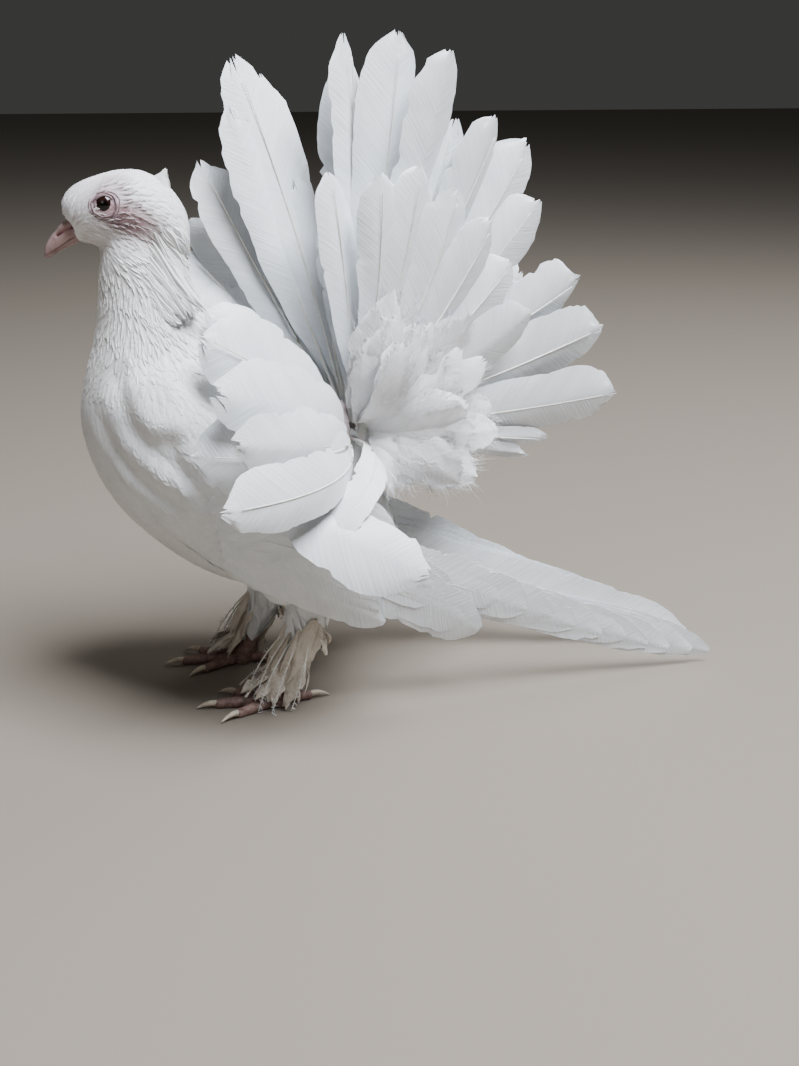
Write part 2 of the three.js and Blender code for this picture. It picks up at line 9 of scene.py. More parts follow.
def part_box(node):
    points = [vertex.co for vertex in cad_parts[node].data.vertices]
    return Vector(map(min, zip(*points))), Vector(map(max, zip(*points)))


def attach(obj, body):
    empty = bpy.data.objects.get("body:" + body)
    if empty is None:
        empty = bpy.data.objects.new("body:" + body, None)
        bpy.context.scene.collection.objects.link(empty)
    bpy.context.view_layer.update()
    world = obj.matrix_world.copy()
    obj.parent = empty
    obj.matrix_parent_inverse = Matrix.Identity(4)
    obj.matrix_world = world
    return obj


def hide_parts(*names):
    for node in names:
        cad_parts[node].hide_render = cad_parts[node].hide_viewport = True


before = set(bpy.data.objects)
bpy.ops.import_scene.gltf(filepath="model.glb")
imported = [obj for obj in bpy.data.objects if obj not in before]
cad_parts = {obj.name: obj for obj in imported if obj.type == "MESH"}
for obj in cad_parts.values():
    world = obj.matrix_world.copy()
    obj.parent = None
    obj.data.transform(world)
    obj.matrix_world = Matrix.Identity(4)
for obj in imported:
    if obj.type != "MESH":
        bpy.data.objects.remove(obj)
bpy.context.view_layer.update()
rng = np.random.default_rng(7)

HEAD_TURN = 8
NECK_Y = -42.0
EYE = dict(x=7.6, y=-53.5, z=209.2, ball=5.0)


# Curves and vectors

def smooth(*stations):
    """A smooth curve through stations of place and value, level beyond its ends."""
    x, y = np.array(stations, float).T
    last = len(x) - 1
    low, high = np.maximum(np.arange(last + 1) - 1, 0), np.minimum(np.arange(last + 1) + 1, last)
    slope = (y[high] - y[low]) / (x[high] - x[low])

    def value(at):
        at = np.clip(np.asarray(at, float), x[0], x[-1])
        i = np.clip(np.searchsorted(x, at, side="right") - 1, 0, last - 1)
        d = x[i + 1] - x[i]
        t = (at - x[i]) / d
        return (y[i] * (1 + 2 * t) * (1 - t) ** 2 + slope[i] * d * t * (1 - t) ** 2
                + y[i + 1] * t * t * (3 - 2 * t) + slope[i + 1] * d * t * t * (t - 1))
    return value


def unit(v):
    """Vectors at length 1."""
    return v / np.maximum(np.linalg.norm(v, axis=-1, keepdims=True), 1e-9)


def heading_of(line):
    """The unit heading at each point of lines of points."""
    return unit(np.gradient(line, axis=1))


def bowed(start, middle, end, u):
    """Points at the shares u of a curve from start to end that is drawn towards middle."""
    return start * (1 - u) ** 2 + 2 * middle * u * (1 - u) + end * u ** 2


def shares(count):
    """Even steps from 0 to 1."""
    return np.linspace(0, 1, count)


def turned(v, axis, angle):
    """Vectors turned about unit axes by angles in radians."""
    c, s = np.cos(angle), np.sin(angle)
    return v * c + np.cross(axis, v) * s + axis * (axis * v).sum(-1, keepdims=True) * (1 - c)


def turned_head(points, angle=-HEAD_TURN):
    """Turns points of the head to the bird's right, about the neck."""
    a = math.radians(angle)
    p = np.array(points, float)
    x, y = p[..., 0].copy(), p[..., 1] - NECK_Y
    p[..., 0] = x * math.cos(a) - y * math.sin(a)
    p[..., 1] = x * math.sin(a) + y * math.cos(a) + NECK_Y
    return p


# The drawing frame sits in the row frame by the place of the two eyes.
eyes_found = np.mean([np.mean(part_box(n), axis=0) for n in ("eye_left", "eye_right")], axis=0) * 1000
SHIFT = (eyes_found - turned_head([0, EYE["y"], EYE["z"]])) * [1, 1, 0]


def row_frame(points):
    """Points of the drawing frame, in millimetres, as the row's metres."""
    return (np.asarray(points, float) + SHIFT) / 1000


# Meshes

def piece(name, points, faces, material, uv=None, bake=None, nodes=(), sharp=0, tint=None):
    """A mesh object from points in millimetres and faces of equal corner count, riding on the body."""
    points, faces = row_frame(points), np.asarray(faces)
    mesh = bpy.data.meshes.new(name)
    mesh.vertices.add(len(points))
    mesh.vertices.foreach_set("co", points.ravel())
    count, corners = faces.shape
    mesh.loops.add(count * corners)
    mesh.loops.foreach_set("vertex_index", faces.ravel())
    mesh.polygons.add(count)
    mesh.polygons.foreach_set("loop_start", np.arange(count) * corners)
    mesh.update(calc_edges=True)
    for layer, values in (("OFBake", bake), ("barbs", uv)):
        if values is not None:
            loops = np.asarray(values, float)[faces.ravel()]
            mesh.uv_layers.new(name=layer).data.foreach_set("uv", loops.ravel())
    if tint is not None:
        mesh.attributes.new("flush", "FLOAT", "POINT").data.foreach_set("value", np.asarray(tint, float))
    mesh.shade_smooth()
    if sharp:
        mesh.set_sharp_from_angle(angle=math.radians(sharp))
    made = bpy.data.objects.new(name, mesh)
    bpy.context.scene.collection.objects.link(made)
    mesh.materials.append(material)
    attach(made, "root")
    if nodes:
        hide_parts(*nodes)
    return made


def grid_faces(rows, cols, close=False):
    """Quads of a grid of points; close joins the last column to the first."""
    i, j = np.meshgrid(np.arange(rows - 1), np.arange(cols if close else cols - 1), indexing="ij")
    k = (j + 1) % cols
    return np.stack([i * cols + j, i * cols + k, (i + 1) * cols + k, (i + 1) * cols + j], -1).reshape(-1, 4)


def vane_faces(rows, cols):
    """Quads of one closed vane: a grid above, the same grid below, and the rim between."""
    top = grid_faces(rows, cols)
    n = rows * cols
    bottom = top[:, ::-1] + n
    rim = []
    around = ([(i, 0) for i in range(rows)] + [(rows - 1, j) for j in range(1, cols)]
              + [(i, cols - 1) for i in range(rows - 2, -1, -1)] + [(0, j) for j in range(cols - 2, 0, -1)])
    for (a, b), (c, d) in zip(around, around[1:] + around[:1]):
        p, q = a * cols + b, c * cols + d
        rim.append([p, q, q + n, p + n])
    return np.concatenate([top, bottom, rim])


def vanes(name, line, side, face, left, right, patches, material, cols, thick, ridge, droop,
          wave=0.0, nodes=(), patch=0.003, curl=None, tint=None, jag=0.0):
    """Many closed vanes at once. line, side and face are arrays of feather, station and axis: the shaft's
    points and its side and face directions. left and right are the half widths at each station. ridge is
    the height of the shaft over the vane, droop how far the edges bend down as a share of the half width,
    wave and curl the height of the ripples and of the tip's curl, and jag how far the tip is split."""
    count, rows = line.shape[:2]
    a = np.linspace(-1, 1, cols)
    width = np.where(a[None, None] < 0, left[..., None], right[..., None])
    across = a[None, None] * width
    height = ridge * (1 - np.abs(a)) ** 2 - droop * a ** 2 * width
    if np.any(wave):
        run = shares(rows)[None, :, None]
        phase = rng.uniform(0, 6.28, (count, 1, 1))
        height = height + np.reshape(wave, (-1, 1, 1)) * np.sin(run * 9 + phase + 2 * a) * np.abs(a) ** 1.5
    if curl is not None:
        height = height + curl[:, None, None] * shares(rows)[None, :, None] ** 3
    taper = np.minimum(1, 0.25 + width.max(axis=2, keepdims=True) / np.maximum(width.max(), 1e-6))
    half = 0.5 * thick * taper * (1 - 0.6 * np.abs(a))
    middle = line[:, :, None] + across[..., None] * side[:, :, None] + height[..., None] * face[:, :, None]
    if np.any(jag):
        split = np.reshape(jag, (-1, 1, 1)) * rng.uniform(-1, 0.5, (count, 1, cols))
        reach = split * np.clip((shares(rows)[None, :, None] - 0.88) / 0.12, 0, 1) ** 2
        middle = middle + reach[..., None] * heading_of(line)[:, :, None]
    offset = half[..., None] * face[:, :, None]
    points = np.stack([middle + offset, middle - offset], axis=1).reshape(-1, 3)
    one = vane_faces(rows, cols)
    faces = (one[None] + (np.arange(count) * 2 * rows * cols)[:, None, None]).reshape(-1, 4)
    along = np.concatenate([np.zeros((count, 1)), np.linalg.norm(np.diff(line, axis=1), axis=2).cumsum(1)], 1)
    # The barbs' map runs along the shaft in centimetres, set back towards the edges so that they slant.
    barb = along[..., None] - 0.9 * np.abs(across)
    uv = np.stack([barb / 10, np.broadcast_to(a, barb.shape) + np.arange(count)[:, None, None] * 3.7], -1)
    down = np.broadcast_to(np.linspace(-0.5, 0.5, rows)[None, :, None], barb.shape)
    spot = np.stack([np.broadcast_to(a, barb.shape) * 0.5, down], -1)
    bake = patches[:, None, None] + spot * patch
    double = lambda v: np.stack([v, v], axis=1).reshape(-1, 2)
    shade = None if tint is None else np.repeat(tint, 2 * rows * cols)
    return piece(name, points, faces, material, double(uv), double(bake), nodes, 60, shade)


def rods(name, line, radius, material, sides=6, nodes=(), tint=None):
    """Many closed round rods at once, along lines of points."""
    count, rows = line.shape[:2]
    tangent = heading_of(line)
    hint = np.where(np.abs(tangent[..., 2:]) > 0.9, [1.0, 0, 0], [0, 0, 1.0])
    u = unit(np.cross(tangent, hint))
    v = np.cross(u, tangent)
    a = 2 * np.pi * (np.arange(sides) + 0.5) / sides
    ring = np.cos(a)[:, None] * u[:, :, None] + np.sin(a)[:, None] * v[:, :, None]
    points = line[:, :, None] + radius[..., None, None] * ring
    ends = np.stack([line[:, 0], line[:, -1]], 1)
    points = np.concatenate([points.reshape(count, -1, 3), ends], 1)
    n = rows * sides
    one = grid_faces(rows, sides, close=True)
    j = np.arange(sides)
    k = (j + 1) % sides
    caps = np.concatenate([np.stack([np.full(sides, n), k, j], -1),
                           np.stack([np.full(sides, n + 1), n - sides + j, n - sides + k], -1)])
    quads = (one[None] + (np.arange(count) * (n + 2))[:, None, None]).reshape(-1, 4)
    tips = (caps[None] + (np.arange(count) * (n + 2))[:, None, None]).reshape(-1, 3)
    triangles = np.concatenate([quads[:, [0, 1, 2]], quads[:, [0, 2, 3]], tips])
    place = np.zeros((count * (n + 2), 2))
    place[:, 0] = np.repeat((np.arange(count) + 0.5) / count, n + 2)
    place[:, 1] = np.tile(np.arange(n + 2) / (n + 2), count)
    if tint is not None:
        ends = np.concatenate([np.repeat(tint, sides, axis=1), tint[:, :1], tint[:, -1:]], 1)
        tint = ends.ravel()
    return piece(name, points.reshape(-1, 3), triangles, material, None, place, nodes, 0, tint)


def loft(rings):
    """Points and triangles of closed rings with a point at each end."""
    rows, sides = rings.shape[:2]
    points = np.concatenate([rings.reshape(-1, 3), [rings[0].mean(0), rings[-1].mean(0)]])
    quads = grid_faces(rows, sides, close=True)
    j = np.arange(sides)
    k = (j + 1) % sides
    n = rows * sides
    first = np.stack([np.full(sides, n), k, j], -1)
    last = np.stack([np.full(sides, n + 1), n - sides + j, n - sides + k], -1)
    return points, np.concatenate([quads[:, [0, 1, 2]], quads[:, [0, 2, 3]], first, last])


# The bird's form, as in its source: stations of y, z, turn in degrees, half depth, half width and x

HEAD = [(-71.9, 206.3, 0, 3, 3.6), (-71, 206.1, 0, 6.3, 6.2), (-66.8, 206, 0, 10.5, 9.6),
        (-59.5, 205.8, 0, 13.8, 12.2), (-50, 205.5, 0, 16.6, 13.3), (-42, 204.6, 0, 17.7, 13.8),
        (-34, 202.4, 0, 16.6, 13), (-28, 199.8, 0, 13.8, 11), (-24, 197.5, 0, 9.4, 7.6),
        (-22.6, 197, 0, 4, 3.4)]
TRUNK = [(-43, 203, -90, 12, 11), (-43, 188, -90, 16, 15.5), (-41, 172, -88, 19.5, 18.5),
         (-38.5, 156, -82, 25.5, 24), (-38.7, 134.8, -66, 35, 33), (-28, 112, -52, 39.5, 37.5),
         (-7, 90.5, -42, 39, 38.5), (12.5, 76, -38, 34.5, 36), (32, 68, -36, 31, 30),
         (47, 60, -34, 22, 21), (58, 53, -34, 11, 11)]
LEG = [(20, 62, -100, 12, 9, 20), (17, 50, -104, 12, 9.2, 20.5), (13, 36, -108, 9.5, 8.2, 22),
       (8, 22, -110, 6.5, 6.2, 24), (3, 12, -104, 4.9, 4.9, 25), (0.5, 6.5, -91, 4.6, 4.6, 25)]
FOOT_X = 25.0
FOOT_Y = {1: 6.0, -1: -6.0}


def body_rings(stations, rows, sides, inset=0.0):
    """Rings of a rounded form through its stations, drawn in by the inset."""
    columns = [smooth(*enumerate(c)) for c in np.array([(*s, 0)[:6] for s in stations], float).T]
    u = np.linspace(0, len(stations) - 1, rows)
    y, z, angle, depth, width, x = [c(u)[:, None] for c in columns]
    f = 2 * np.pi * np.arange(sides)[None] / sides
    a = np.radians(angle)
    across, up = (width - inset) * np.cos(f), (depth - inset) * np.sin(f)
    return np.stack([x + across, y - up * np.sin(a), z + up * np.cos(a)], -1)


def standing(points, side):
    """Points drawn for the left leg, set on the left (1) or the right (-1) foot."""
    p = np.array(points, float)
    return p * [side, 1, 1] + [0, FOOT_Y[side], 0]


# Materials

def linear(code):
    """A hex colour in sRGB as linear red, green, blue and alpha."""
    values = [int(code[i:i + 2], 16) / 255 for i in (1, 3, 5)]
    return [v / 12.92 if v <= 0.04045 else ((v + 0.055) / 1.055) ** 2.4 for v in values] + [1.0]


def node(tree, kind, links=None, stops=(), **settings):
    """Adds a node of a kind with its settings, its colour stops if it has any, and links to its inputs."""
    made = tree.nodes.new(kind)
    for key, value in settings.items():
        setattr(made, key, value)
    for number, (at, colour) in enumerate(stops):
        if number > 1:
            made.color_ramp.elements.new(at)
        made.color_ramp.elements[number].position = at
        made.color_ramp.elements[number].color = linear(colour)
    for key, value in (links or {}).items():
        socket = made.inputs[key]
        if isinstance(value, bpy.types.NodeSocket):
            tree.links.new(value, socket)
        else:
            socket.default_value = value
    return made


def material(name, base, **sockets):
    """A new material of a base colour, with constants on the inputs of its shader."""
    made = bpy.data.materials.new(name)
    made.use_nodes = True
    tree = made.node_tree
    shader = tree.nodes["Principled BSDF"]
    shader.inputs["Base Color"].default_value = linear(base)
    for key, value in sockets.items():
        shader.inputs[key.replace("_", " ")].default_value = value
    return made, tree, shader


def tinted(tree, colour, flush):
    """A colour mixed with the flush colour by the amount that the piece's flush attribute holds."""
    amount = node(tree, "ShaderNodeAttribute", attribute_name="flush").outputs["Fac"]
    return node(tree, "ShaderNodeMix", {0: amount, 6: colour, 7: flush}, data_type="RGBA").outputs[2]


def surface(tree, shader, colour, height, strength, depth):
    """Gives a shader its colour and a relief of the given depth in millimetres."""
    tree.links.new(colour, shader.inputs["Base Color"])
    bump = node(tree, "ShaderNodeBump", {"Height": height, "Strength": strength, "Distance": depth / 1000})
    tree.links.new(bump.outputs["Normal"], shader.inputs["Normal"])


def feather_material(name, light, shade, barbs, depth, flush=None, **sockets):
    """White feather keratin: a soft sheen, with the barbs as fine ridges that slant from the shaft.
    barbs is their spacing and depth their height, in millimetres. Real barbs stand 0.1 to 0.3 mm apart,
    too fine for the render, so they are drawn several times as coarse. flush is the colour of the skin
    that shows between short feathers, where the piece has that attribute."""
    made, tree, shader = material(name, light, Subsurface_Weight=0.15, **sockets)
    shader.inputs["Subsurface Radius"].default_value = (0.0016, 0.0015, 0.0013)
    uv = node(tree, "ShaderNodeUVMap", uv_map="barbs").outputs["UV"]
    fine = node(tree, "ShaderNodeMapping", {"Vector": uv, "Scale": (10 / barbs, 0.5, 1)}).outputs["Vector"]
    lines = node(tree, "ShaderNodeTexNoise", {"Vector": fine, "Scale": 1.0, "Detail": 3.0, "Roughness": 0.6})
    # Tufts of barbs about 9 mm long differ a little in tone.
    broad = node(tree, "ShaderNodeMapping", {"Vector": uv, "Scale": (1.1, 0.5, 1)}).outputs["Vector"]
    tone = node(tree, "ShaderNodeTexNoise", {"Vector": broad, "Scale": 1.0, "Detail": 2.0})
    mixed = node(tree, "ShaderNodeMath", {0: lines.outputs["Fac"], 1: tone.outputs["Fac"]}, operation="ADD")
    half = node(tree, "ShaderNodeMath", {0: mixed.outputs[0], 1: 0.5}, operation="MULTIPLY")
    white = node(tree, "ShaderNodeValToRGB", {"Fac": half.outputs[0]}, stops=[(0.3, shade), (0.62, light)])
    colour = white.outputs["Color"]
    if flush:
        colour = tinted(tree, colour, linear(flush))
    surface(tree, shader, colour, lines.outputs["Fac"], 1.0, depth)
    return made


def skin_material(hidden="#eff0f1", grain=1.11, depth=0.4):
    """Bird skin under the coat: white where feathers hide it, and where it is bare a thin pink one that
    shows the blood under it, dull and finely pitted. grain is the size of the pits in millimetres."""
    made, tree, shader = material("bare_skin", "#ececec", Roughness=0.6)
    place = node(tree, "ShaderNodeTexCoord").outputs["Object"]
    pits = node(tree, "ShaderNodeTexNoise", {"Vector": place, "Scale": 1000 / grain, "Detail": 4.0})
    pits = pits.outputs["Fac"]
    pink = node(tree, "ShaderNodeValToRGB", {"Fac": pits}, stops=[(0.35, "#957377"), (0.7, "#bba2a5")])
    flush = node(tree, "ShaderNodeAttribute", attribute_name="flush").outputs["Fac"]
    mixed = node(tree, "ShaderNodeMix", {0: flush, 6: linear(hidden), 7: pink.outputs["Color"]},
                 data_type="RGBA")
    surface(tree, shader, mixed.outputs[2], pits, 0.7, depth)
    return made


def horn_material(name, dark, pale, grain, depth, rough, flush=None):
    """Horn or scute: mottling of a grain in millimetres under a soft gloss, with a little light passing into
    it.
    flush is a darker colour mixed in by the piece's flush attribute: painted shade in the bill's nostril
    slits and along its mouth line, and the grey of a quill's flecks."""
    made, tree, shader = material(name, pale, Roughness=rough, Subsurface_Weight=0.15)
    shader.inputs["Subsurface Radius"].default_value = (0.002, 0.0008, 0.0005)
    place = node(tree, "ShaderNodeTexCoord").outputs["Object"]
    mottle = node(tree, "ShaderNodeTexNoise",
                  {"Vector": place, "Scale": 1000 / grain, "Detail": 4.0, "Roughness": 0.6}).outputs["Fac"]
    tone = node(tree, "ShaderNodeValToRGB", {"Fac": mottle}, stops=[(0.3, dark), (0.68, pale)])
    colour = tone.outputs["Color"]
    if flush:
        colour = tinted(tree, colour, linear(flush))
    surface(tree, shader, colour, mottle, 0.6, depth)
    return made


def eye_material():
    """The cornea over a dark brown iris and a black pupil: wet and clear, so it gives the bull eye its
    one sharp highlight."""
    made, tree, shader = material("wet_cornea", "#140b09", Roughness=0.08, Specular_IOR_Level=0.35,
                                  Coat_Weight=0.3, Coat_Roughness=0.03)
    ring = node(tree, "ShaderNodeUVMap", uv_map="barbs").outputs["UV"]
    split = node(tree, "ShaderNodeSeparateXYZ", {"Vector": ring})
    colour = node(tree, "ShaderNodeValToRGB", {"Fac": split.outputs["X"]}, stops=[
        (0.0, "#050303"), (0.45, "#060303"), (0.53, "#170b09"), (0.74, "#24110c"), (0.92, "#140a08"),
        (1.0, "#0a0605")])
    tree.links.new(colour.outputs["Color"], shader.inputs["Base Color"])
    return made


# Contour feathers: close, short barbs that give the breast a satin white.
contour_feather = feather_material("contour_feather", "#eceded", "#dddfdf", 1.1, 0.1, Roughness=0.62,
                                   Sheen_Weight=0.25)
# Hackles: narrow and loose at the edges, a warmer white that shines in streaks along the locks.
hackle_feather = feather_material("hackle_feather", "#edeceb", "#d2d0cb", 0.8, 0.2, Roughness=0.5,
                                  Sheen_Weight=0.15)
# Face feathers: the shortest and sparsest, so the pink of the skin comes through them.
face_feather = feather_material("face_feather", "#ecebeb", "#d8d2d1", 0.6, 0.1, "#98807f", Roughness=0.55,
                                Sheen_Weight=0.2)
# Flight and tail vanes: hooked barbs that lie as one stiff sheet, a cool white with a smooth gloss.
flight_vane = feather_material("flight_vane", "#eceff1", "#dbdfe3", 1.3, 0.22, Roughness=0.48,
                               Sheen_Weight=0.1)
# Down: unhooked barbs that stand apart, dull and soft at the edges.
down_feather = feather_material("down_feather", "#efeff0", "#e2e2e2", 1.5, 0.2, Roughness=0.75,
                                Sheen_Weight=0.4)
# Muff feathers: worn, in a dull cream that is darker than the white of the body.
muff_feather = feather_material("muff_feather", "#d9d1c4", "#b3a694", 0.9, 0.2, Roughness=0.65,
                                Sheen_Weight=0.2)
# Quill keratin: a smooth ivory shaft with a gloss, flecked grey where its sheath has flaked.
quill = horn_material("quill_keratin", "#dcd9cf", "#f2f1ec", 3.33, 0.05, 0.35, "#857a70")
# Bill horn: flesh pink and half matt over the bone; painted shade darkens its nostril slits and mouth line.
bill_horn = horn_material("bill_horn", "#967877", "#b59d99", 3.85, 0.06, 0.42, "#703a42")
# Claw horn: pale, worn and lightly polished.
claw_horn = horn_material("claw_horn", "#a39580", "#d8ccb8", 3.33, 0.05, 0.35)
# Scutes: the dull red-brown skin of the toes and shanks, rough with small plates.
scute_skin = horn_material("scute_skin", "#6f524b", "#957a71", 2.0, 0.12, 0.5)
# Lid skin: bare, grey-pink and finely creased.
lid_skin = horn_material("lid_skin", "#685356", "#8d777a", 1.43, 0.12, 0.5)
skin = skin_material()
wet_eye = eye_material()


# The sheet that a folded wing lies on

# s runs from the wrist to the tip, t across it towards the back. Start and end are y, z. The curves give, at
# each s, how far the sheet stands out, the t where it stands out most, the t of the arm's lower and upper
# edges, and the arm's thickness. The coverts cover the arm to a depth, as far as an s.
WING_START, WING_END = np.array([-55.0, 128.0]), np.array([204.0, 6.0])
AXIS = (WING_END - WING_START) / np.linalg.norm(WING_END - WING_START)
BULGE = smooth((0, 24), (12, 30), (30, 35.5), (60, 39), (90, 37.2), (120, 32), (160, 25), (220, 17),
               (287, 11))
MIDDLE = smooth((0, 2), (34, 1), (61, -8), (84, -14), (104, -17), (140, -20), (200, -14), (287, -2))
UPPER_EDGE = smooth((0, 14), (8, 26), (24, 33), (50, 26), (77, 12), (110, -2), (140, -12))
LOWER_EDGE = smooth((0, -4), (8, -20), (24, -31), (58, -41), (82, -44), (110, -42), (140, -38))
THICKNESS = smooth((0, 2.5), (10, 7), (30, 9.5), (70, 8.5), (100, 6.5), (135, 3.4))
COVERT_END, COVERT_DEPTH = 135, 0.4


def on_sheet(side, s, t, lift):
    """Points of the wing's sheet, raised off it by the lift."""
    y = WING_START[0] + s * AXIS[0] - t * AXIS[1]
    z = WING_START[1] + s * AXIS[1] + t * AXIS[0]
    x = BULGE(s) * (1 - 0.3 * ((t - MIDDLE(s)) / 40) ** 2) + lift
    return np.stack([side * x, y, z], -1)


def wing_arm(side):
    """The rounded front of the folded wing, under its coverts."""
    rows, cols = 44, 30
    i, j = np.meshgrid(shares(rows), shares(cols), indexing="ij")
    s = COVERT_END * i ** 1.3
    share = 0.5 - 0.5 * np.cos(np.pi * j)
    t = LOWER_EDGE(s) + (UPPER_EDGE(s) - LOWER_EDGE(s)) * share
    dome = THICKNESS(s) * np.sqrt(np.maximum(0, 1 - (2 * share - 1) ** 2))
    outer = on_sheet(side, s, t, dome - COVERT_DEPTH)
    inner = on_sheet(side, s, t, 0 * s)
    points = np.concatenate([outer.reshape(-1, 3), inner.reshape(-1, 3)])
    faces = vane_faces(rows, cols)
    return points, faces[:, ::-1] if side < 0 else faces


# Relief of the flanks

# The folds in front of and below the shoulder, as y, z lines, with a swell along both sides of each, and the
# pad over the shoulder.
FOLDS = [np.array(f, float) for f in (
    [(-54, 144), (-48, 127), (-39, 115.5), (-30, 108)], [(-64, 129), (-57.5, 116), (-47, 105), (-34, 97)],
    [(-35, 121), (-29, 108), (-22, 98)], [(-66, 112), (-57, 100), (-44, 90)])]
FOLD_DEPTH, FOLD_HALF = 1.0, 3.4
SWELL_HEIGHT, SWELL_HALF, SWELL_AWAY = 0.5, 4, 7
PAD = dict(y=-39.0, z=134.5, length=15.0, height=12.0, lift=3.0)


def relief(points):
    """How far the flank stands out at each place, in millimetres."""
    yz = points[..., 1:]
    rise = np.zeros(points.shape[:-1])
    for fold in FOLDS:
        away = np.full(rise.shape, 99.0)
        for a, b in zip(fold[:-1], fold[1:]):
            t = np.clip(((yz - a) @ (b - a)) / ((b - a) @ (b - a)), 0, 1)
            away = np.minimum(away, np.linalg.norm(yz - a - t[..., None] * (b - a), axis=-1))
        rise += SWELL_HEIGHT * np.exp(-((away - SWELL_AWAY) / SWELL_HALF) ** 2)
        rise -= FOLD_DEPTH * np.exp(-(away / FOLD_HALF) ** 2)
    r = np.hypot((points[..., 1] - PAD["y"]) / PAD["length"], (points[..., 2] - PAD["z"]) / PAD["height"])
    flank = np.clip((np.abs(points[..., 0]) - 16) / 10, 0, 1)
    return flank * (rise + PAD["lift"] * np.exp(-r ** 5))


def knob_shape(middle, size):
    """A slightly lumpy egg of the given half sizes."""
    a = np.linspace(0.02, np.pi - 0.02, 24)[:, None]
    b = 2 * np.pi * np.arange(36)[None] / 36
    lumps = 1 + 0.03 * np.sin(5 * b + 4 * a) * np.sin(3 * a)
    ball = np.stack([np.sin(a) * np.cos(b) * lumps, np.sin(a) * np.sin(b) * lumps, -np.cos(a) + 0 * b], -1)
    return loft(ball * size + middle)


# Skin: the whole bird without its feathers, as one surface

# How deep the skin lies under the form with its feathers, on the body, the head and the legs, and the
# size of the grid that joins the parts.
FEATHER_DEPTH, HEAD_DEPTH, LEG_DEPTH = 1.0, 0.7, 0.6
SKIN_GRAIN = 1.3
# The chin's middle and half sizes.
CHIN = dict(middle=[0, -63.2, 197.6], size=[5.8, 6.0, 4.3])
# The face stands back from the base of the bill, in a hollow: its middle, half width, depth and half
# height, then where the feathers end and the half sizes of the place without them.
SOCKET = dict(y=-73.0, z=199.8, width=11.5, depth=7.2, height=4.9)
BILL_FROM, BILL_HALF = -63, (5.2, 4.6)


def behind_bill(points):
    """Sets the points of the face that would cover the base of the bill back behind it."""
    p = turned_head(points, HEAD_TURN)
    open_part = 1 - (p[:, 0] / SOCKET["width"]) ** 2 - ((p[:, 2] - SOCKET["z"]) / SOCKET["height"]) ** 2
    wall = SOCKET["y"] + SOCKET["depth"] * np.sqrt(np.maximum(open_part, 0))
    p[:, 1] = np.where(open_part > 0, np.maximum(p[:, 1], wall), p[:, 1])
    return turned_head(p)


def at_bill(points):
    """Whether each place lies against the base of the bill, where no feathers grow."""
    p = turned_head(points, HEAD_TURN)
    off = np.hypot(p[:, 0] / BILL_HALF[0], (p[:, 2] - SOCKET["z"]) / BILL_HALF[1])
    return (p[:, 1] < BILL_FROM) & (off < 1)


def skin_shape():
    """Head, chin, trunk, wing arms and legs joined by a fine grid and smoothed, as points and quads."""
    parts = [turned_head(body_rings(HEAD, 25, 40, HEAD_DEPTH)), body_rings(TRUNK, 50, 60, FEATHER_DEPTH)]
    parts += [standing(body_rings(LEG, 24, 24, LEG_DEPTH), side) for side in (1, -1)]
    points, faces, count = [], [], 0
    chin, chin_faces = knob_shape(CHIN["middle"], CHIN["size"])
    closed = [(turned_head(chin), chin_faces), *(wing_arm(side) for side in (1, -1))]
    for p, f in [loft(rings) for rings in parts] + closed:
        points += p.tolist()
        faces += (f + count).tolist()
        count += len(p)
    mesh = bpy.data.meshes.new("skin_form")
    mesh.from_pydata(points, [], faces)
    form = bpy.data.objects.new("skin_form", mesh)
    bpy.context.scene.collection.objects.link(form)
    remesh = form.modifiers.new("join", "REMESH")
    remesh.mode, remesh.voxel_size = "VOXEL", SKIN_GRAIN
    relax = form.modifiers.new("relax", "SMOOTH")
    relax.factor, relax.iterations = 0.5, 12
    joined = bpy.data.meshes.new_from_object(form.evaluated_get(bpy.context.evaluated_depsgraph_get()))
    points = np.empty(len(joined.vertices) * 3)
    joined.vertices.foreach_get("co", points)
    points = points.reshape(-1, 3)
    normals = np.empty(len(points) * 3)
    joined.vertices.foreach_get("normal", normals)
    points = points + normals.reshape(-1, 3) * relief(points)[:, None]
    points = behind_bill(points)
    faces = [list(p.vertices) for p in joined.polygons]
    quads = np.array([f if len(f) == 4 else f + f[-1:] for f in faces])
    bpy.data.objects.remove(form)
    return points, quads


TRUNK_LINE = np.array([(0, s[0], s[1]) for s in [(-43, 224), *TRUNK]], float)


def trunk_place(points):
    """How far along the bird's midline each point lies, 0 to 1, and its turn round it, 0 to 1."""
    a, b = TRUNK_LINE[:-1], TRUNK_LINE[1:]
    d = b - a
    t = np.clip(((points[:, None] - a) * d).sum(-1) / (d * d).sum(-1), 0, 1)
    near = a + t[..., None] * d
    best = np.argmin(((points[:, None] - near) ** 2).sum(-1), axis=1)
    pick = np.arange(len(points)), best
    arm = points - near[pick]
    heading = unit(d)[best]
    up = np.stack([np.zeros(len(points)), -heading[:, 2], heading[:, 1]], -1)
    turn = np.arctan2(arm[:, 0], (arm * up).sum(-1)) / (2 * np.pi) + 0.5
    return (best + t[pick]) / len(a), turn


def bake_place(points):
    """The place of each point on an unwrap of the skin round the midline, for the OFBake map."""
    along, turn = trunk_place(points)
    return np.stack([0.02 + 0.96 * turn, 0.02 + 0.96 * along], -1)


skin_points, skin_quads = skin_shape()
skin_tree = BVHTree.FromPolygons(skin_points.tolist(), skin_quads.tolist())
EYE_SPOTS = turned_head([(s * EYE["x"], EYE["y"], EYE["z"]) for s in (1, -1)])


def eye_distance(points):
    """How far each point lies from the nearer eye's middle."""
    return np.min([np.linalg.norm(points - spot, axis=-1) for spot in EYE_SPOTS], axis=0)


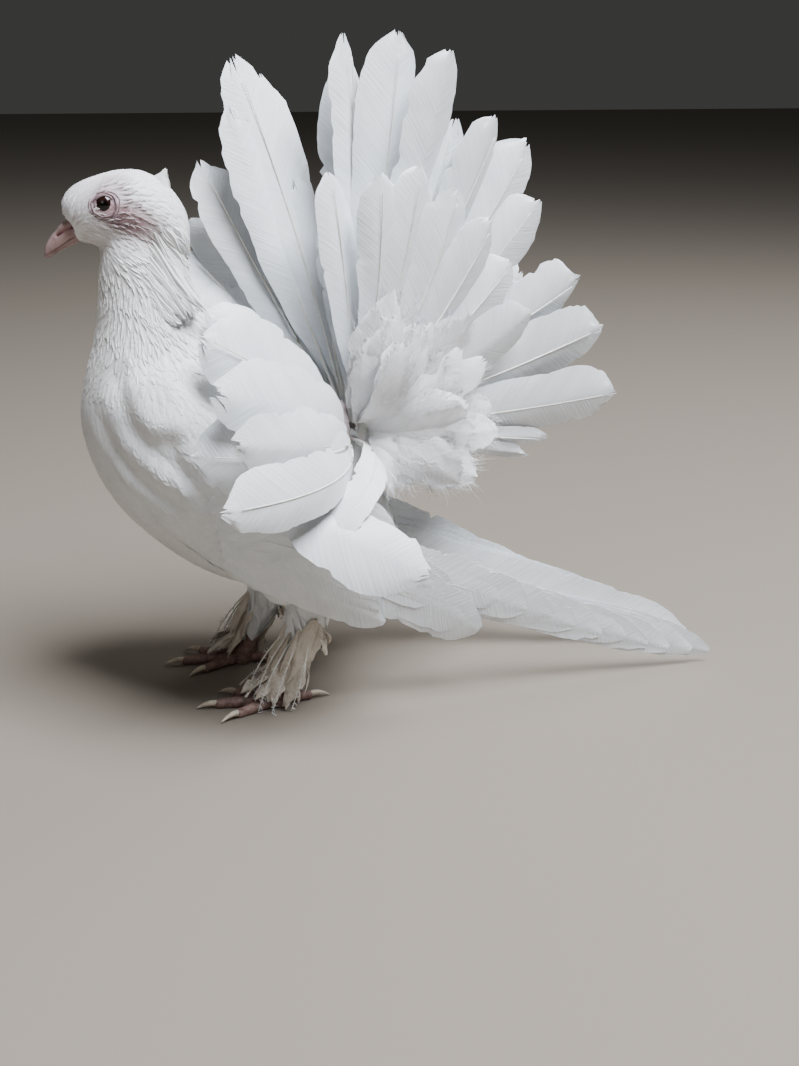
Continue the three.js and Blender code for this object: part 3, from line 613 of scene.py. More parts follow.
def bareness(points):
    """1 on the bare pink skin round the eyes and along the wrinkles behind and below them, 0 elsewhere."""
    best = np.zeros(len(points))
    for spot in EYE_SPOTS:
        d = points - spot
        back, up = d[:, 1], d[:, 2]
        slant = np.hypot((back - 4.5 + 0.2 * up) / 12.5, (up + 3 + 0.35 * back) / 7.5)
        near = np.linalg.norm(d, axis=1) / 9.5
        best = np.maximum(best, np.clip(1.6 - 1.3 * np.minimum(near, slant), 0, 1))
    return best


def skin_piece():
    """The bare bird, which stands for the nodes of flesh."""
    piece("skin", skin_points, skin_quads, skin, None, bake_place(skin_points),
          ("head", "neck", "torso", "leg_left", "leg_right"), 0, bareness(skin_points))


# Coat: small feathers laid over the skin

LIE = np.array([
    # y, z of a place on the bird, then the way that the feathers lie there, in y and z
    (-68, 205, 0.5, 1.0), (-62, 216, 1.0, 0.5), (-45, 222, 1.0, 0.05), (-30, 214, 0.8, -0.5),
    (-23, 198, 0.25, -1.0), (-55, 205, 1.0, 0.0), (-62, 197, 0.9, -0.35), (-50, 196, 0.8, -0.5),
    (-62, 188, 0.4, -0.9), (-58, 172, 0.0, -1.0), (-42, 178, 0.35, -1.0), (-25, 178, 0.4, -0.95),
    (-62, 152, -0.1, -1.0), (-40, 158, 0.3, -1.0), (-18, 162, 0.6, -0.8), (-72, 125, 0.1, -1.0),
    (-45, 125, 0.5, -0.9), (-10, 145, 0.8, -0.6), (-70, 98, 0.4, -0.9), (-45, 72, 0.8, -0.55),
    (-15, 52, 1.0, -0.25), (-20, 118, 0.85, -0.5), (-10, 100, 0.9, -0.43),
    (15, 85, 0.9, -0.43), (20, 118, 0.9, -0.43), (40, 90, 0.9, -0.43),
    (35, 45, 1.0, 0.2), (58, 60, 0.9, 0.3), (5, 30, 0.1, -1.0), (5, 10, 0.1, -1.0)], float)


def lie_at(points):
    """The way that the coat lies at each place, blended from the nearest entries of LIE."""
    d = ((points[:, None, 1:] - LIE[None, :, :2]) ** 2).sum(-1)
    w = 1 / (d + 12) ** 2
    v = (w[..., None] * LIE[None, :, 2:]).sum(1) / w.sum(1)[:, None]
    return unit(np.concatenate([np.zeros((len(points), 1)), v], 1))


# The spacing that stands for a place without feathers
NO_FEATHERS = 99.0


def scattered(spacing):
    """Places spread over the skin, no closer than the spacing that a function of place gives."""
    corners = skin_points[skin_quads]
    cross = np.cross(corners[:, 2] - corners[:, 0], corners[:, 3] - corners[:, 1]) / 2
    gap = spacing(corners.mean(1))
    weight = np.linalg.norm(cross, axis=1) / gap ** 2 * (gap < NO_FEATHERS)
    draws = int(weight.sum() * 3.5)
    pick = rng.choice(len(skin_quads), draws, p=weight / weight.sum())
    spots = (corners[pick] * rng.dirichlet(np.ones(4), draws)[..., None]).sum(1)
    clear = gap[pick] * 0.775
    cell = np.floor(spots / clear.max()).astype(int)
    near = [(i, j, k) for i in (-1, 0, 1) for j in (-1, 0, 1) for k in (-1, 0, 1)]
    kept, cells = [], {}
    for n, (p, c, reach) in enumerate(zip(spots.tolist(), cell.tolist(), clear.tolist())):
        around = (q for d in near for q in cells.get((c[0] + d[0], c[1] + d[1], c[2] + d[2]), ()))
        if all(math.dist(p, q) > reach for q in around):
            cells.setdefault(tuple(c), []).append(p)
            kept.append(n)
    return spots[kept]


def nearest(tree, points):
    """The nearest points of a surface and its normals there."""
    found = [tree.find_nearest(Vector(p)) for p in points]
    return np.array([f[0] for f in found]), np.array([f[1] for f in found])


def laid(roots, length, lift, lie, rows, sink, jitter):
    """Shafts that start under the skin and run along it the way that the coat lies, rising to their tips."""
    here, normal = nearest(skin_tree, roots)
    heading = lie(here) + rng.normal(0, jitter, here.shape)
    step = (length / (rows - 1))[:, None]
    line, side, face = [], [], []
    for i in range(rows):
        u = i / (rows - 1)
        heading = unit(heading - (heading * normal).sum(-1, keepdims=True) * normal)
        rise = -sink * (1 - u) + (lift * length * u ** 1.3)
        line.append(here + normal * rise[:, None])
        side.append(unit(np.cross(heading, normal)))
        face.append(normal)
        if i + 1 < rows:
            here, normal = nearest(skin_tree, here + heading * step)
    return np.stack(line, 1), np.stack(side, 1), np.stack(face, 1)


# Outlines of feathers, as the share of the full width at each share of the length

CONTOUR = smooth((0, 0.3), (0.3, 0.85), (0.65, 1), (0.88, 0.72), (1, 0.18))
HACKLE = smooth((0, 0.35), (0.35, 0.9), (0.7, 0.9), (0.9, 0.5), (1, 0.08))
FLIGHT = smooth((0, 0.12), (0.12, 0.3), (0.3, 0.8), (0.6, 1), (0.85, 0.94), (0.94, 0.74), (1, 0.2))
COVERT = smooth((0, 0.4), (0.25, 0.9), (0.6, 1), (0.82, 0.92), (0.94, 0.6), (1, 0.15))
RECTRIX = smooth((0, 0.05), (0.14, 0.07), (0.22, 0.3), (0.36, 0.66), (0.6, 0.92), (0.8, 1), (0.9, 0.9),
                 (0.965, 0.62), (1, 0.16))
DOWNY = smooth((0, 0.3), (0.25, 0.75), (0.6, 1), (0.85, 0.85), (1, 0.25))
STRAP = smooth((0, 0.3), (0.2, 0.8), (0.5, 1), (0.8, 0.7), (1, 0.12))

# The sharpest bend of the skin under one feather, as the cosine, and the most triangles in one piece
SHARPEST_TURN = 0.8
MOST_TRIANGLES = 180000


def coat(name, roots, length, width, lift, material, rows, cols, outline, ridge, droop, thick, lie=lie_at,
         jitter=0.12, sink=0.5, tint=None):
    """One or more coat pieces of small feathers at their roots on the skin. length, width and lift, the
    rise of a feather as a share of its length, are one number for all of them or one for each."""
    length, width, lift = (v + 0 * roots[:, 0] for v in (length, width, lift))
    line, side, face = laid(roots, length, lift, lie, rows, sink, jitter)
    # A feather that would fold into a crease, as where the wing meets the back, is left out.
    flat = (face[:, 1:] * face[:, :-1]).sum(-1).min(1) > SHARPEST_TURN
    line, side, face, roots, width = line[flat], side[flat], face[flat], roots[flat], width[flat]
    tint = None if tint is None else tint[flat]
    half = 0.5 * width[:, None] * outline(shares(rows))[None]
    patches = bake_place(roots)
    per = 4 * (rows - 1) * (cols - 1) + 4 * (rows + cols - 2)
    batches = math.ceil(len(roots) * per / MOST_TRIANGLES)
    for b in range(batches):
        pick = slice(b, None, batches)
        vanes(f"{name}_{b + 1}" if batches > 1 else name, line[pick], side[pick], face[pick], half[pick],
              half[pick], patches[pick], material, cols, thick, ridge, droop,
              tint=None if tint is None else tint[pick])


# Body feathers: for each kind, their spacing, length and full width in millimetres

FACE_GAP, FACE_LENGTH, FACE_WIDTH = 1.45, 6.8, 1.9
NECK_GAP, HACKLE_LENGTH, HACKLE_WIDTH = 1.75, 9, 1.9
SHOULDER_LENGTH, SHOULDER_WIDTH = 12, 2.7
BREAST_GAP, BREAST_LENGTH, BREAST_WIDTH = 2.5, 9, 5.2
REAR_GAP, REAR_LENGTH, REAR_WIDTH = 4.2, 14, 9
# The height where narrow hackles give way to broader ones, and how far the two kinds mingle.
HACKLES_END, MINGLED = 156, 6
# How far the bare lids reach from the eye's middle, and the corner of the mouth, where feathers shorten.
LIDS_REACH = 6.6
BILL_CORNER = turned_head([0, -72, 199])


def in_head(p):
    """Depth of a place within the face and crown: 1 at the bill, 0 on the neck."""
    return np.clip((p[:, 2] - 186 - 0.28 * (p[:, 1] + 60)) / 14, 0, 1)


def on_neck(p):
    """Whether each place is on the neck, from the head down to the shoulders."""
    return (in_head(p) <= 0.25) & (p[:, 2] > 134) & (p[:, 2] + 0.5 * p[:, 1] > 116)


def on_body(p):
    """Whether each place is on the breast, flanks or belly."""
    back = 128 + 0.9 * np.clip(p[:, 1] + 40, 0, 90)
    return (p[:, 2] < 158) & (p[:, 2] > 24) & (p[:, 2] + 0.5 * p[:, 1] < back)


def hackle_lie(points):
    """The neck's lie, with the slow waver that gathers its hackles into wavy locks."""
    y, z = points[:, 1], points[:, 2]
    across = 0.3 * np.sin(0.31 * y - 0.27 * z)
    along = 0.34 * np.sin(0.4 * z + 0.22 * y + 0.9 * np.sin(0.13 * y))
    return lie_at(points) + np.stack([across, along, 0 * y], -1)


def body_coat():
    """The small feathers from the face down to the belly."""
    def head_gap(p):
        gap = FACE_GAP + 0.5 * np.clip((p[:, 1] + 60) / 30, 0, 1) + 0.25 * bareness(p)
        bare = (eye_distance(p) < LIDS_REACH) | at_bill(p)
        return np.where((in_head(p) > 0) & ~bare, gap, NO_FEATHERS)

    spots = scattered(head_gap)
    near = np.clip(1 - np.linalg.norm(spots - BILL_CORNER, axis=1) / 24, 0, 1)
    bare = bareness(spots)
    coat("face_feathers", spots, FACE_LENGTH - 2.6 * near - 1.2 * bare, FACE_WIDTH - 0.8 * near - 1.0 * bare,
         0.035 + 0.05 * bare, face_feather, 5, 3, HACKLE, 0.14, 0.08, 0.14, jitter=0.13, sink=0.2,
         tint=np.clip(0.95 * bare + 0.45 * near ** 1.3, 0, 0.85))

    spots = scattered(lambda p: np.where(on_neck(p), NECK_GAP, NO_FEATHERS))
    high = spots[:, 2] + rng.normal(0, MINGLED, len(spots)) > HACKLES_END
    upper, lower = spots[high], spots[~high]
    coat("neck_hackles", upper, HACKLE_LENGTH, HACKLE_WIDTH, 0.045, hackle_feather, 6, 5, HACKLE, 0.26, 0.1,
         0.15, hackle_lie, 0.11, 0.35)
    low = np.clip((160 - lower[:, 2]) / 24, 0, 1)
    coat("shoulder_hackles", lower, SHOULDER_LENGTH + 2 * low, SHOULDER_WIDTH + 2.4 * low,
         0.035 - 0.025 * low, hackle_feather, 6, 5, CONTOUR, 0.2, 0.06, 0.13, hackle_lie, 0.07, 0.35)
    hackle_flap()

    front = scattered(lambda p: np.where(on_body(p) & (p[:, 1] < -6), BREAST_GAP, NO_FEATHERS))
    coat("breast_feathers", front, BREAST_LENGTH + rng.normal(0, 0.6, len(front)), BREAST_WIDTH, 0.012,
         contour_feather, 6, 5, CONTOUR, 0.1, 0.03, 0.12, jitter=0.05, sink=0.25)
    rear = scattered(lambda p: np.where(on_body(p) & (p[:, 1] > -14), REAR_GAP, NO_FEATHERS))
    back = np.clip((rear[:, 1] + 14) / 60, 0, 1)
    coat("belly_and_shoulder_feathers", rear, REAR_LENGTH + 5 * back, REAR_WIDTH + 4 * back, 0.01,
         contour_feather, 7, 7, CONTOUR, 0.06, 0.03, 0.14, jitter=0.05, sink=0.3)


# The back edge of the hackles on the left, down the nape, out to a point over the shoulder, and forward
# again, as x, y, z, then the egg-shaped place on the neck where they grow.
FLAP_EDGE = np.array([[4, -25, 190], [8, -22.8, 181], [13, -21, 174], [20, -18.5, 168], [20.5, -30, 163.2]])
FLAP_ROOTS = dict(middle=[11, -31, 183], size=[14, 10, 19], gap=1.5)


def hackle_flap():
    """The longest hackles, at the back of the neck's left side, which stand off it over the shoulder."""
    across = unit(np.array([-0.83, -0.55]))
    within = lambda p: np.linalg.norm((p - FLAP_ROOTS["middle"]) / FLAP_ROOTS["size"], axis=1) < 1
    spots = scattered(lambda p: np.where(within(p) & (p[:, 0] > 0), FLAP_ROOTS["gap"], NO_FEATHERS))
    reach = FLAP_EDGE[:, 1:] @ across
    v = spots[:, 1:] @ across + rng.normal(0, 0.5, len(spots))
    edge = np.stack([np.interp(v, reach, FLAP_EDGE[:, k]) for k in range(3)], -1)
    rows = 11
    u = shares(rows)[None, :, None]
    ends = spots + (edge - spots) * rng.uniform(0.5, 1.03, (len(spots), 1)) + rng.normal(0, 0.4, spots.shape)
    straight = spots[:, None] * (1 - u) + ends[:, None] * u
    on_skin, normal = nearest(skin_tree, straight.reshape(-1, 3))
    on_skin, normal = on_skin.reshape(straight.shape), normal.reshape(straight.shape)
    high = ((straight - on_skin) * normal).sum(-1, keepdims=True)
    line = straight + normal * np.maximum(0, 0.15 + 1.0 * u - high - 0.5 * (1 - u) ** 4)
    phase = 0.35 * spots[:, None, 2:] + 0.2 * spots[:, None, 1:2]
    sway = rng.uniform(0.2, 0.6, (len(spots), 1, 1)) * np.sin(7 * u + phase)
    line = line + sway * [0, -0.83, -0.55]
    tangent = heading_of(line)
    sideways = unit(np.cross(tangent, normal[:, :1]))
    half = 0.5 * rng.uniform(1.8, 3.0, (len(spots), 1)) * HACKLE(shares(rows))[None]
    vanes("hackle_flap", line, sideways, np.cross(sideways, tangent), half, half, bake_place(spots),
          hackle_feather, 5, 0.14, 0.4, 0.12)


# Wing feathers

# How much each feather tilts under the next, as a slope across it, and the height of its ripples
WING_TILT, WING_RIPPLE = -0.09, 0.25


def sheet_vanes(side, start, end, width, lift, outline, rows, share):
    """Shafts, sides and faces of feathers on the wing's sheet, from start to end in s and t, with their
    half widths. share is the part of the width on the outer side of the shaft."""
    u = shares(rows)[None, :, None]
    start, end = np.asarray(start, float)[:, None], np.asarray(end, float)[:, None]
    middle = (start + end) / 2 + np.stack([0 * end[..., 0], 0.03 * (end - start)[..., 0]], -1)
    p = bowed(start, middle, end, u)
    d = heading_of(p)
    here = lambda a: on_sheet(side, p[..., 0] + d[..., 1] * a, p[..., 1] - d[..., 0] * a,
                              lift + WING_TILT * a)
    line = here(0.0)
    across = unit(here(4.0) - here(-4.0))
    face = unit(np.cross(across, np.gradient(line, axis=1)))
    face *= np.sign((face * [side, 0, 0]).sum(-1, keepdims=True))
    shape = width[:, None] * outline(shares(rows))[None]
    return line, across, face, shape * (1 - share), shape * share


def wing(side):
    """The primaries, secondaries and greater coverts of one folded wing. The places, widths and lifts of
    a tier are functions of f, 0 for its first feather and 1 for its last, and u, 0 at the root."""
    word = "left" if side > 0 else "right"

    def tier(kind, count, start, end, width, lift, outline, rows, cols, share, thick, shaft=0.0, nodes=()):
        name, f = f"wing_{word}_{kind}", shares(count)
        wobble = rng.normal(0, 0.5, (count, 2))
        raised = lift(f[:, None], shares(rows)[None])
        line, across, face, left, right = sheet_vanes(side, start(f), end(f) + wobble, width(f), raised,
                                                      outline, rows, share)
        left, right = ragged(left), ragged(right)
        vanes(name, line, across, face, left, right, bake_place(line[:, 0]), flight_vane,
              cols, thick, 0.15, 0.03, wave=WING_RIPPLE, nodes=nodes)
        if shaft:
            taper = shaft * (1 - 0.8 * shares(rows))[None] + 0 * line[..., 0]
            rods(f"{name}_shafts", (line + 0.12 * face)[:, :-2], taper[:, :-2], quill)

    pair = lambda a, b: np.stack([a, b], -1)
    tier("primaries", 10, lambda f: pair(70 + 22 * f, -34 + 18 * f),
         lambda f: pair(286 - 108 * f ** 1.15, -1.5 - 22 * f + 12 * f * f), lambda f: 18 + 3 * f,
         lambda f, u: 2.2 + 4.4 * f * (1 - 0.3 * u), FLIGHT, 48, 9, 0.4, 0.35, 0.8, (f"wing_{word}",))
    tier("secondaries", 9, lambda f: pair(62 - 24 * f, -18 + 27 * f),
         lambda f: pair(176 - 60 * f, -27 + 24 * f), lambda f: 25 + 0 * f,
         lambda f, u: 5.4 + 2.6 * f + 1.5 * (1 - u), FLIGHT, 36, 9, 0.5, 0.35, 0.6)
    tier("greater_coverts", 12, lambda f: pair(60 - 30 * f, -34 + 42 * f),
         lambda f: pair(134 - 54 * f, -36 + 44 * f), lambda f: 17 + 0 * f,
         lambda f, u: 7.4 + 1.6 * np.sin(np.pi * f) - 0.4 * u, COVERT, 24, 9, 0.5, 0.3)


def ragged(width, amount=0.035, notches=3):
    """Half widths with the slight waver, the nicks and the split tip of a worn vane."""
    count, rows = width.shape
    u = shares(rows)[None]
    draw = lambda low, high: rng.uniform(low, high, (count, 1))
    waver = amount * (np.sin(u * draw(14, 30) + draw(0, 6.28)) + rng.normal(0, 0.25, (count, rows)))
    nick = np.zeros((count, rows))
    for k in range(notches):
        nick += draw(0, 0.22) * np.clip(1 - np.abs(u - draw(0.45, 0.97)) / 0.02, 0, 1)
    tip = amount * 3 * np.clip((u - 0.86) / 0.1, 0, 1) * rng.uniform(-1, 0.6, (count, rows))
    return width * np.maximum(0.1, 1 + waver * (u > 0.3) - nick + tip)


# Tail

# Where its quills meet, how far the fan's underside is turned to the bird's left, the way out from that side
# and the way to its right as the photo shows it
TAIL_ROOT = np.array([5.0, 41.0, 114.0])
FAN_TURN = math.radians(33)
FAN_OUT = np.array([math.cos(FAN_TURN), math.sin(FAN_TURN), 0])
FAN_RIGHT = np.array([-FAN_OUT[1], FAN_OUT[0], 0])
# The root that the quills grow from, and the strip of bare skin that shows up the front of it.
TAIL_BASE = dict(middle=[4, 40, 100], size=[7.0, 7.0, 15.0])
BARE_LOBE = dict(middle=[12, 36, 117], size=[9.0, 3.6, 12.0])
# Each tail feather: clock, length, lean, width, bow, roll. clock is its turn from straight up in the plane
# of the fan, lean how far it leans out of that plane and roll how far its vane turns about the shaft, all
# in degrees. bow is how far its middle stands out from a straight line.
LONG_TAIL = [
    (-95, 102, 22, 26, 22, 10), (-80, 93, 21, 24, 18, 6), (-86, 88, 6, 36, 31, 8), (-56, 87, -1, 33, 12, 0),
    (-69, 87, 11, 33, 20, 4), (-47, 80, -14, 22, 5, 0), (-42, 85, -23, 28, 2, 0), (-33, 98, -25, 28, 1, 0),
    (-26, 108, -25, 20, 0, 4), (-22, 124, -17, 24, 1, -4), (-16, 138, -12, 25, 1, 3),
    (-11, 155, -12, 27, 2, 2), (-6, 147, -13, 24, 0, -3), (-6, 104, -12, 24, 2, 0), (-3, 90, -4, 20, 2, 0),
    (1, 158, 0, 19, 3, 14), (5, 150, -4, 24, 1, 0), (8, 161, 3, 28, 3, -8), (14, 158, 7, 28, 3, 4),
    (20, 134, 7, 28, 3, -4), (28, 143, 9, 30, 3, 6), (37, 145, 8, 30, 3, -3), (46, 131, 9, 31, 3, 5),
    (55, 106, 10, 30, 3, -6), (66, 134, 10, 30, 3, 8), (77, 138, 11, 31, 3, 4), (90, 140, 13, 28, 3, 12),
    (100, 106, 12, 9, 5, 20), (104, 94, 12, 8, 5, 20)]
SHORT_TAIL = [
    (-9, 109, 3, 24, 4, 10), (-1, 108, 10, 22, 4, -10), (9, 112, 11, 22, 4, 6), (20, 108, 13, 24, 4, -4),
    (32, 104, 15, 24, 4, 6), (45, 98, 15, 24, 4, -6), (60, 93, 15, 24, 4, 6)]
# The feathers that hang below the fan have a sideways sweep too.
HANGING = [(-158, 80, 55, 30, -9, 0, 36), (-120, 70, 34, 15, 20, 60, 5), (-124, 62, 33, 11, 18, 100, 3)]
# Soft coverts on the fan's underside: how many, first and last clock, reach, lean, width, bow.
UNDER_TAIL = ((12, -8, 110, 62, 15, 22, 4), (12, -12, 124, 54, 22, 21, 5), (14, -8, 138, 44, 30, 20, 7),
              (8, 100, 172, 25, 34, 13, 4))
# Their loose barbs: how many a vane, the share of its length where they begin, their length, half thickness.
LOOSE_BARBS = (120, 0.3, 7.0, 0.09)
# Upper tail coverts, all round the root: how many, reach, how far out from the fan's plane they start.
RUMP = ((18, 32, -2.0), (16, 23, -5.0))
RUMP_LEAN, RUMP_WIDTH, RUMP_BOW = -12.0, 15.0, -2.0
# Grey flecks on a shaft: the part of its places that have one, the share of its length that they reach, and
# the clock up to which shafts have them.
FLECKS = dict(part=0.22, reach=0.34, clock=-20)


def fan_point(clock, distance, lean, out=0.0):
    """Points at a distance from the tail's root, turned by clock and leaning out of the fan's plane."""
    c, l = np.radians(clock), np.radians(lean)
    return (TAIL_ROOT + FAN_RIGHT * np.expand_dims(distance * np.sin(c) * np.cos(l), -1)
            + [0, 0, 1] * np.expand_dims(distance * np.cos(c) * np.cos(l), -1)
            + FAN_OUT * np.expand_dims(distance * np.sin(l) + out, -1))


def fan(name, rows_of, out, rows=56, cols=15, shaft=0.95, outline=RECTRIX, substance=flight_vane, thick=0.4,
        frayed=0.035, torn=3.0, barbs=None):
    """Feathers that grow from the tail's root, from rows of clock, length, lean, width, bow, roll and
    sweep. out is how far their plane stands from the fan's, frayed and torn how worn their edges and tips
    are, and barbs the loose barbs along their edges, if any."""
    clock, length, lean, width, bow, roll, sweep = np.array([(*row, 0)[:7] for row in rows_of], float).T
    count = len(clock)
    root, tip = fan_point(clock, 5 + 0 * clock, lean * 0.5, out), fan_point(clock, length, lean, out)
    along = unit(tip - root)
    side0 = unit(np.cross(along, FAN_OUT))
    face0 = np.cross(side0, along)
    aside = sweep[:, None] * 2 + rng.normal(0, 1.6, (count, 1))
    middle = (root + tip) / 2 + face0 * (2 * bow)[:, None] + side0 * aside
    u = shares(rows)[None, :, None]
    line = bowed(root[:, None], middle[:, None], tip[:, None], u)
    tangent = heading_of(line)
    side = unit(np.cross(tangent, FAN_OUT))
    uneven = np.radians(rng.normal(0, 4, (count, 1, 1)))
    side = turned(side, tangent, np.radians(roll)[:, None, None] * (0.5 + 0.5 * u) + uneven * u)
    face = unit(np.cross(side, tangent))
    face *= np.sign((face * FAN_OUT).sum(-1).mean(1))[:, None, None]
    share = 0.5 + 0.06 * np.sign(clock)[:, None]
    shape = width[:, None] * outline(shares(rows))[None]
    left, right = (ragged(shape * part, frayed) for part in (share, 1 - share))
    tiles = math.ceil(math.sqrt(count))
    spot = np.stack([np.arange(count) % tiles, np.arange(count) // tiles], -1)
    vanes(name, line, side, face, left, right, (spot + 0.5) / tiles, substance, cols,
          thick, 0.3, 0.17, wave=rng.uniform(0.3, 0.9, count), patch=0.92 / tiles,
          curl=rng.normal(-1.0, 1.5, count), jag=torn * rng.uniform(0.1, 1, count))
    if shaft:
        radius = shaft * (1 - 0.86 * shares(rows) ** 0.8)[None] + 0 * line[..., 0]
        flaked = (shares(rows) < FLECKS["reach"]) * (clock < FLECKS["clock"])[:, None]
        flecks = (rng.uniform(0, 1, line.shape[:2]) < FLECKS["part"]) * flaked
        rods(f"{name}_shafts", (line + 0.22 * face)[:, :-3], radius[:, :-3], quill, 8,
             tint=flecks[:, :-3].astype(float))
    if barbs:
        fringe(f"{name}_fringe", line, side, left, right, substance, *barbs)


def fringe(name, line, side, left, right, substance, per, start, reach, width):
    """Loose barbs along the worn edges of vanes, from a share of their length on: how many a vane, and
    their length and half thickness."""
    count, rows = line.shape[:2]
    owner = np.repeat(np.arange(count), per)
    at = start + (0.995 - start) * rng.uniform(0, 1, len(owner)) ** 0.7
    row = np.minimum((at * rows).astype(int), rows - 2)
    half = rng.choice([-1, 1], len(owner))
    spread = np.where(half < 0, left[owner, row], right[owner, row]) * rng.uniform(0.55, 0.97, len(owner))
    root = line[owner, row] + side[owner, row] * (half * spread)[:, None]
    along = unit(line[owner, row + 1] - line[owner, row])
    outward = side[owner, row] * half[:, None]
    way = unit(along + 0.3 * outward + rng.normal(0, 0.22, root.shape))
    bend = rng.normal(0, 0.3, root.shape)
    t = shares(6)[None, :, None]
    long = reach * rng.uniform(0.4, 1.2, len(owner))[:, None, None]
    hair = root[:, None] + long * (way[:, None] * t + bend[:, None] * t * t)
    thin = width * (1 - 0.75 * t[..., 0]) + 0 * hair[..., 0]
    rods(name, hair, thin, substance, 3)


def tail():
    """The tail's root and every feather that grows from it."""
    points, faces = knob_shape(**TAIL_BASE)
    piece("tail_base", points, faces, contour_feather, None, bake_place(points), ("tail",))
    points, faces = knob_shape(**BARE_LOBE)
    piece("tail_bare_skin", points, faces, skin, None, bake_place(points),
          tint=np.full(len(points), 0.7))
    fan("tail_long_feathers", LONG_TAIL, -1.0, torn=5.0)
    fan("tail_short_feathers", SHORT_TAIL, 4.0)
    fan("tail_hanging_feathers", HANGING, 0.0, frayed=0.05)
    under_tail()
    rump()


def under_tail():
    """Soft coverts over the quills on the fan's underside, and loose down round its root."""
    for number, (count, low, high, reach, lean, width, bow) in enumerate(UNDER_TAIL):
        clock = low + (high - low) * (np.arange(count) + rng.uniform(0.2, 0.8, count)) / count
        rows_of = np.stack([clock, reach * rng.uniform(0.88, 1.12, count), lean + rng.normal(0, 3, count),
                            np.full(count, width), np.full(count, bow), rng.normal(0, 12, count)], -1)
        fan(f"under_tail_coverts_{number + 1}", rows_of, 4.0 + number, 30, 15, 0.35 if number == 0 else 0,
            DOWNY, down_feather, 0.2, 0.08, 3.0, LOOSE_BARBS)


def rump():
    """Upper tail coverts, behind the fan: over its quills and down the rump."""
    for number, (count, reach, out) in enumerate(RUMP):
        clock = -180 + 360 * (np.arange(count) + rng.uniform(0.3, 0.7, count)) / count
        long = reach * (1 + 0.25 * np.cos(np.radians(clock))) * rng.uniform(0.9, 1.1, count)
        rows_of = np.stack([clock, long, np.full(count, RUMP_LEAN), np.full(count, RUMP_WIDTH),
                            np.full(count, RUMP_BOW), rng.normal(0, 8, count)], -1)
        fan(f"upper_tail_coverts_{number + 1}", rows_of, out, 22, 9, 0, DOWNY, contour_feather, 0.25)


# Bill

# Its stations as in the source, where the mouth line starts and how it slopes, the nostril's slit with y, z
# of both ends, and the left one of the two swellings of the cere above the slits
BILL = [(-61, 200.6, 208, 4.4, 5.4), (-67, 198.2, 212, 4.6, 4.4), (-71.8, 195.6, 218, 4.2, 3.5),
        (-75.6, 192.6, 228, 3.3, 2.7), (-78.3, 189.6, 240, 2.0, 1.7), (-79.6, 187.6, 248, 0.7, 0.7)]
MOUTH_FROM = np.array([0, -63.5, 198.3])
MOUTH_SLOPE = math.radians(31.5)
NOSTRIL = dict(start=(-66.4, 200.3), end=(-74.4, 196.6), half=0.5, depth=0.8)
CERE = dict(middle=(2.3, -70.8, 200), size=(2.2, 4.6, 2.2), lift=1.2)


def bill():
    """The bill's two halves, parted along the mouth line, with the nostrils and the cere."""
    rings = body_rings(BILL, 90, 72)
    up = np.array([0, -math.sin(MOUTH_SLOPE), math.cos(MOUTH_SLOPE)])
    over = (rings - MOUTH_FROM) @ up
    upper = rings - np.minimum(over - 0.02, 0)[..., None] * up
    lower = (rings - np.maximum(over + 0.03, 0)[..., None] * up) * [0.96, 1, 1]
    out = unit(upper - rings.mean(1, keepdims=True))
    a, b = np.array(NOSTRIL["start"]), np.array(NOSTRIL["end"])
    t = np.clip(((upper[..., 1:] - a) @ (b - a)) / ((b - a) @ (b - a)), 0, 1)
    bow = 0.5 * np.sin(np.pi * t)
    away = np.linalg.norm(upper[..., 1:] - a - t[..., None] * (b - a) - bow[..., None] * [0.7, 0.7], axis=-1)
    flank = np.clip(np.abs(upper[..., 0]) - 1, 0, 1)
    slit = np.exp(-(away / NOSTRIL["half"]) ** 2) * flank
    swell = np.zeros(slit.shape)
    for side in (1, -1):
        lobe = np.linalg.norm((upper - np.array(CERE["middle"]) * [side, 1, 1]) / CERE["size"], axis=-1)
        swell = np.maximum(swell, np.exp(-lobe ** 3))
    upper = upper + out * (CERE["lift"] * swell - NOSTRIL["depth"] * slit)[..., None]
    # Painted shade: the nostril slits and the mouth line are also darkened in colour, for the shade in these
    # creases.
    mouth_line_shade = 0.35 * np.exp(-(np.abs(over) / 0.3) ** 2)
    dark = np.clip(1.6 * np.maximum(slit, mouth_line_shade), 0, 1)
    for name, shape, crease_shade in (("bill_upper", upper, dark), ("bill_lower", lower, mouth_line_shade)):
        points, faces = loft(turned_head(shape))
        piece(f"{name}_horn", points, faces, bill_horn, None, bake_place(points), (name,), 50,
              np.append(crease_shade, (0, 0)))


# Eyes

# The radius of the iris, the rings of the lids as radius, half thickness and the share of it that stands out
# of the skin, how far out the rim lies, and the wrinkles as how many, the first radius and the step
IRIS_RADIUS = 3.3
LID_RINGS = [(3.6, 0.55, 1.0), (4.5, 0.42, 0.5), (5.6, 0.22, 0.2)]
RIM_OUT = 3.55
WRINKLES, WRINKLE_FROM, WRINKLE_STEP = 11, 6.4, 0.5


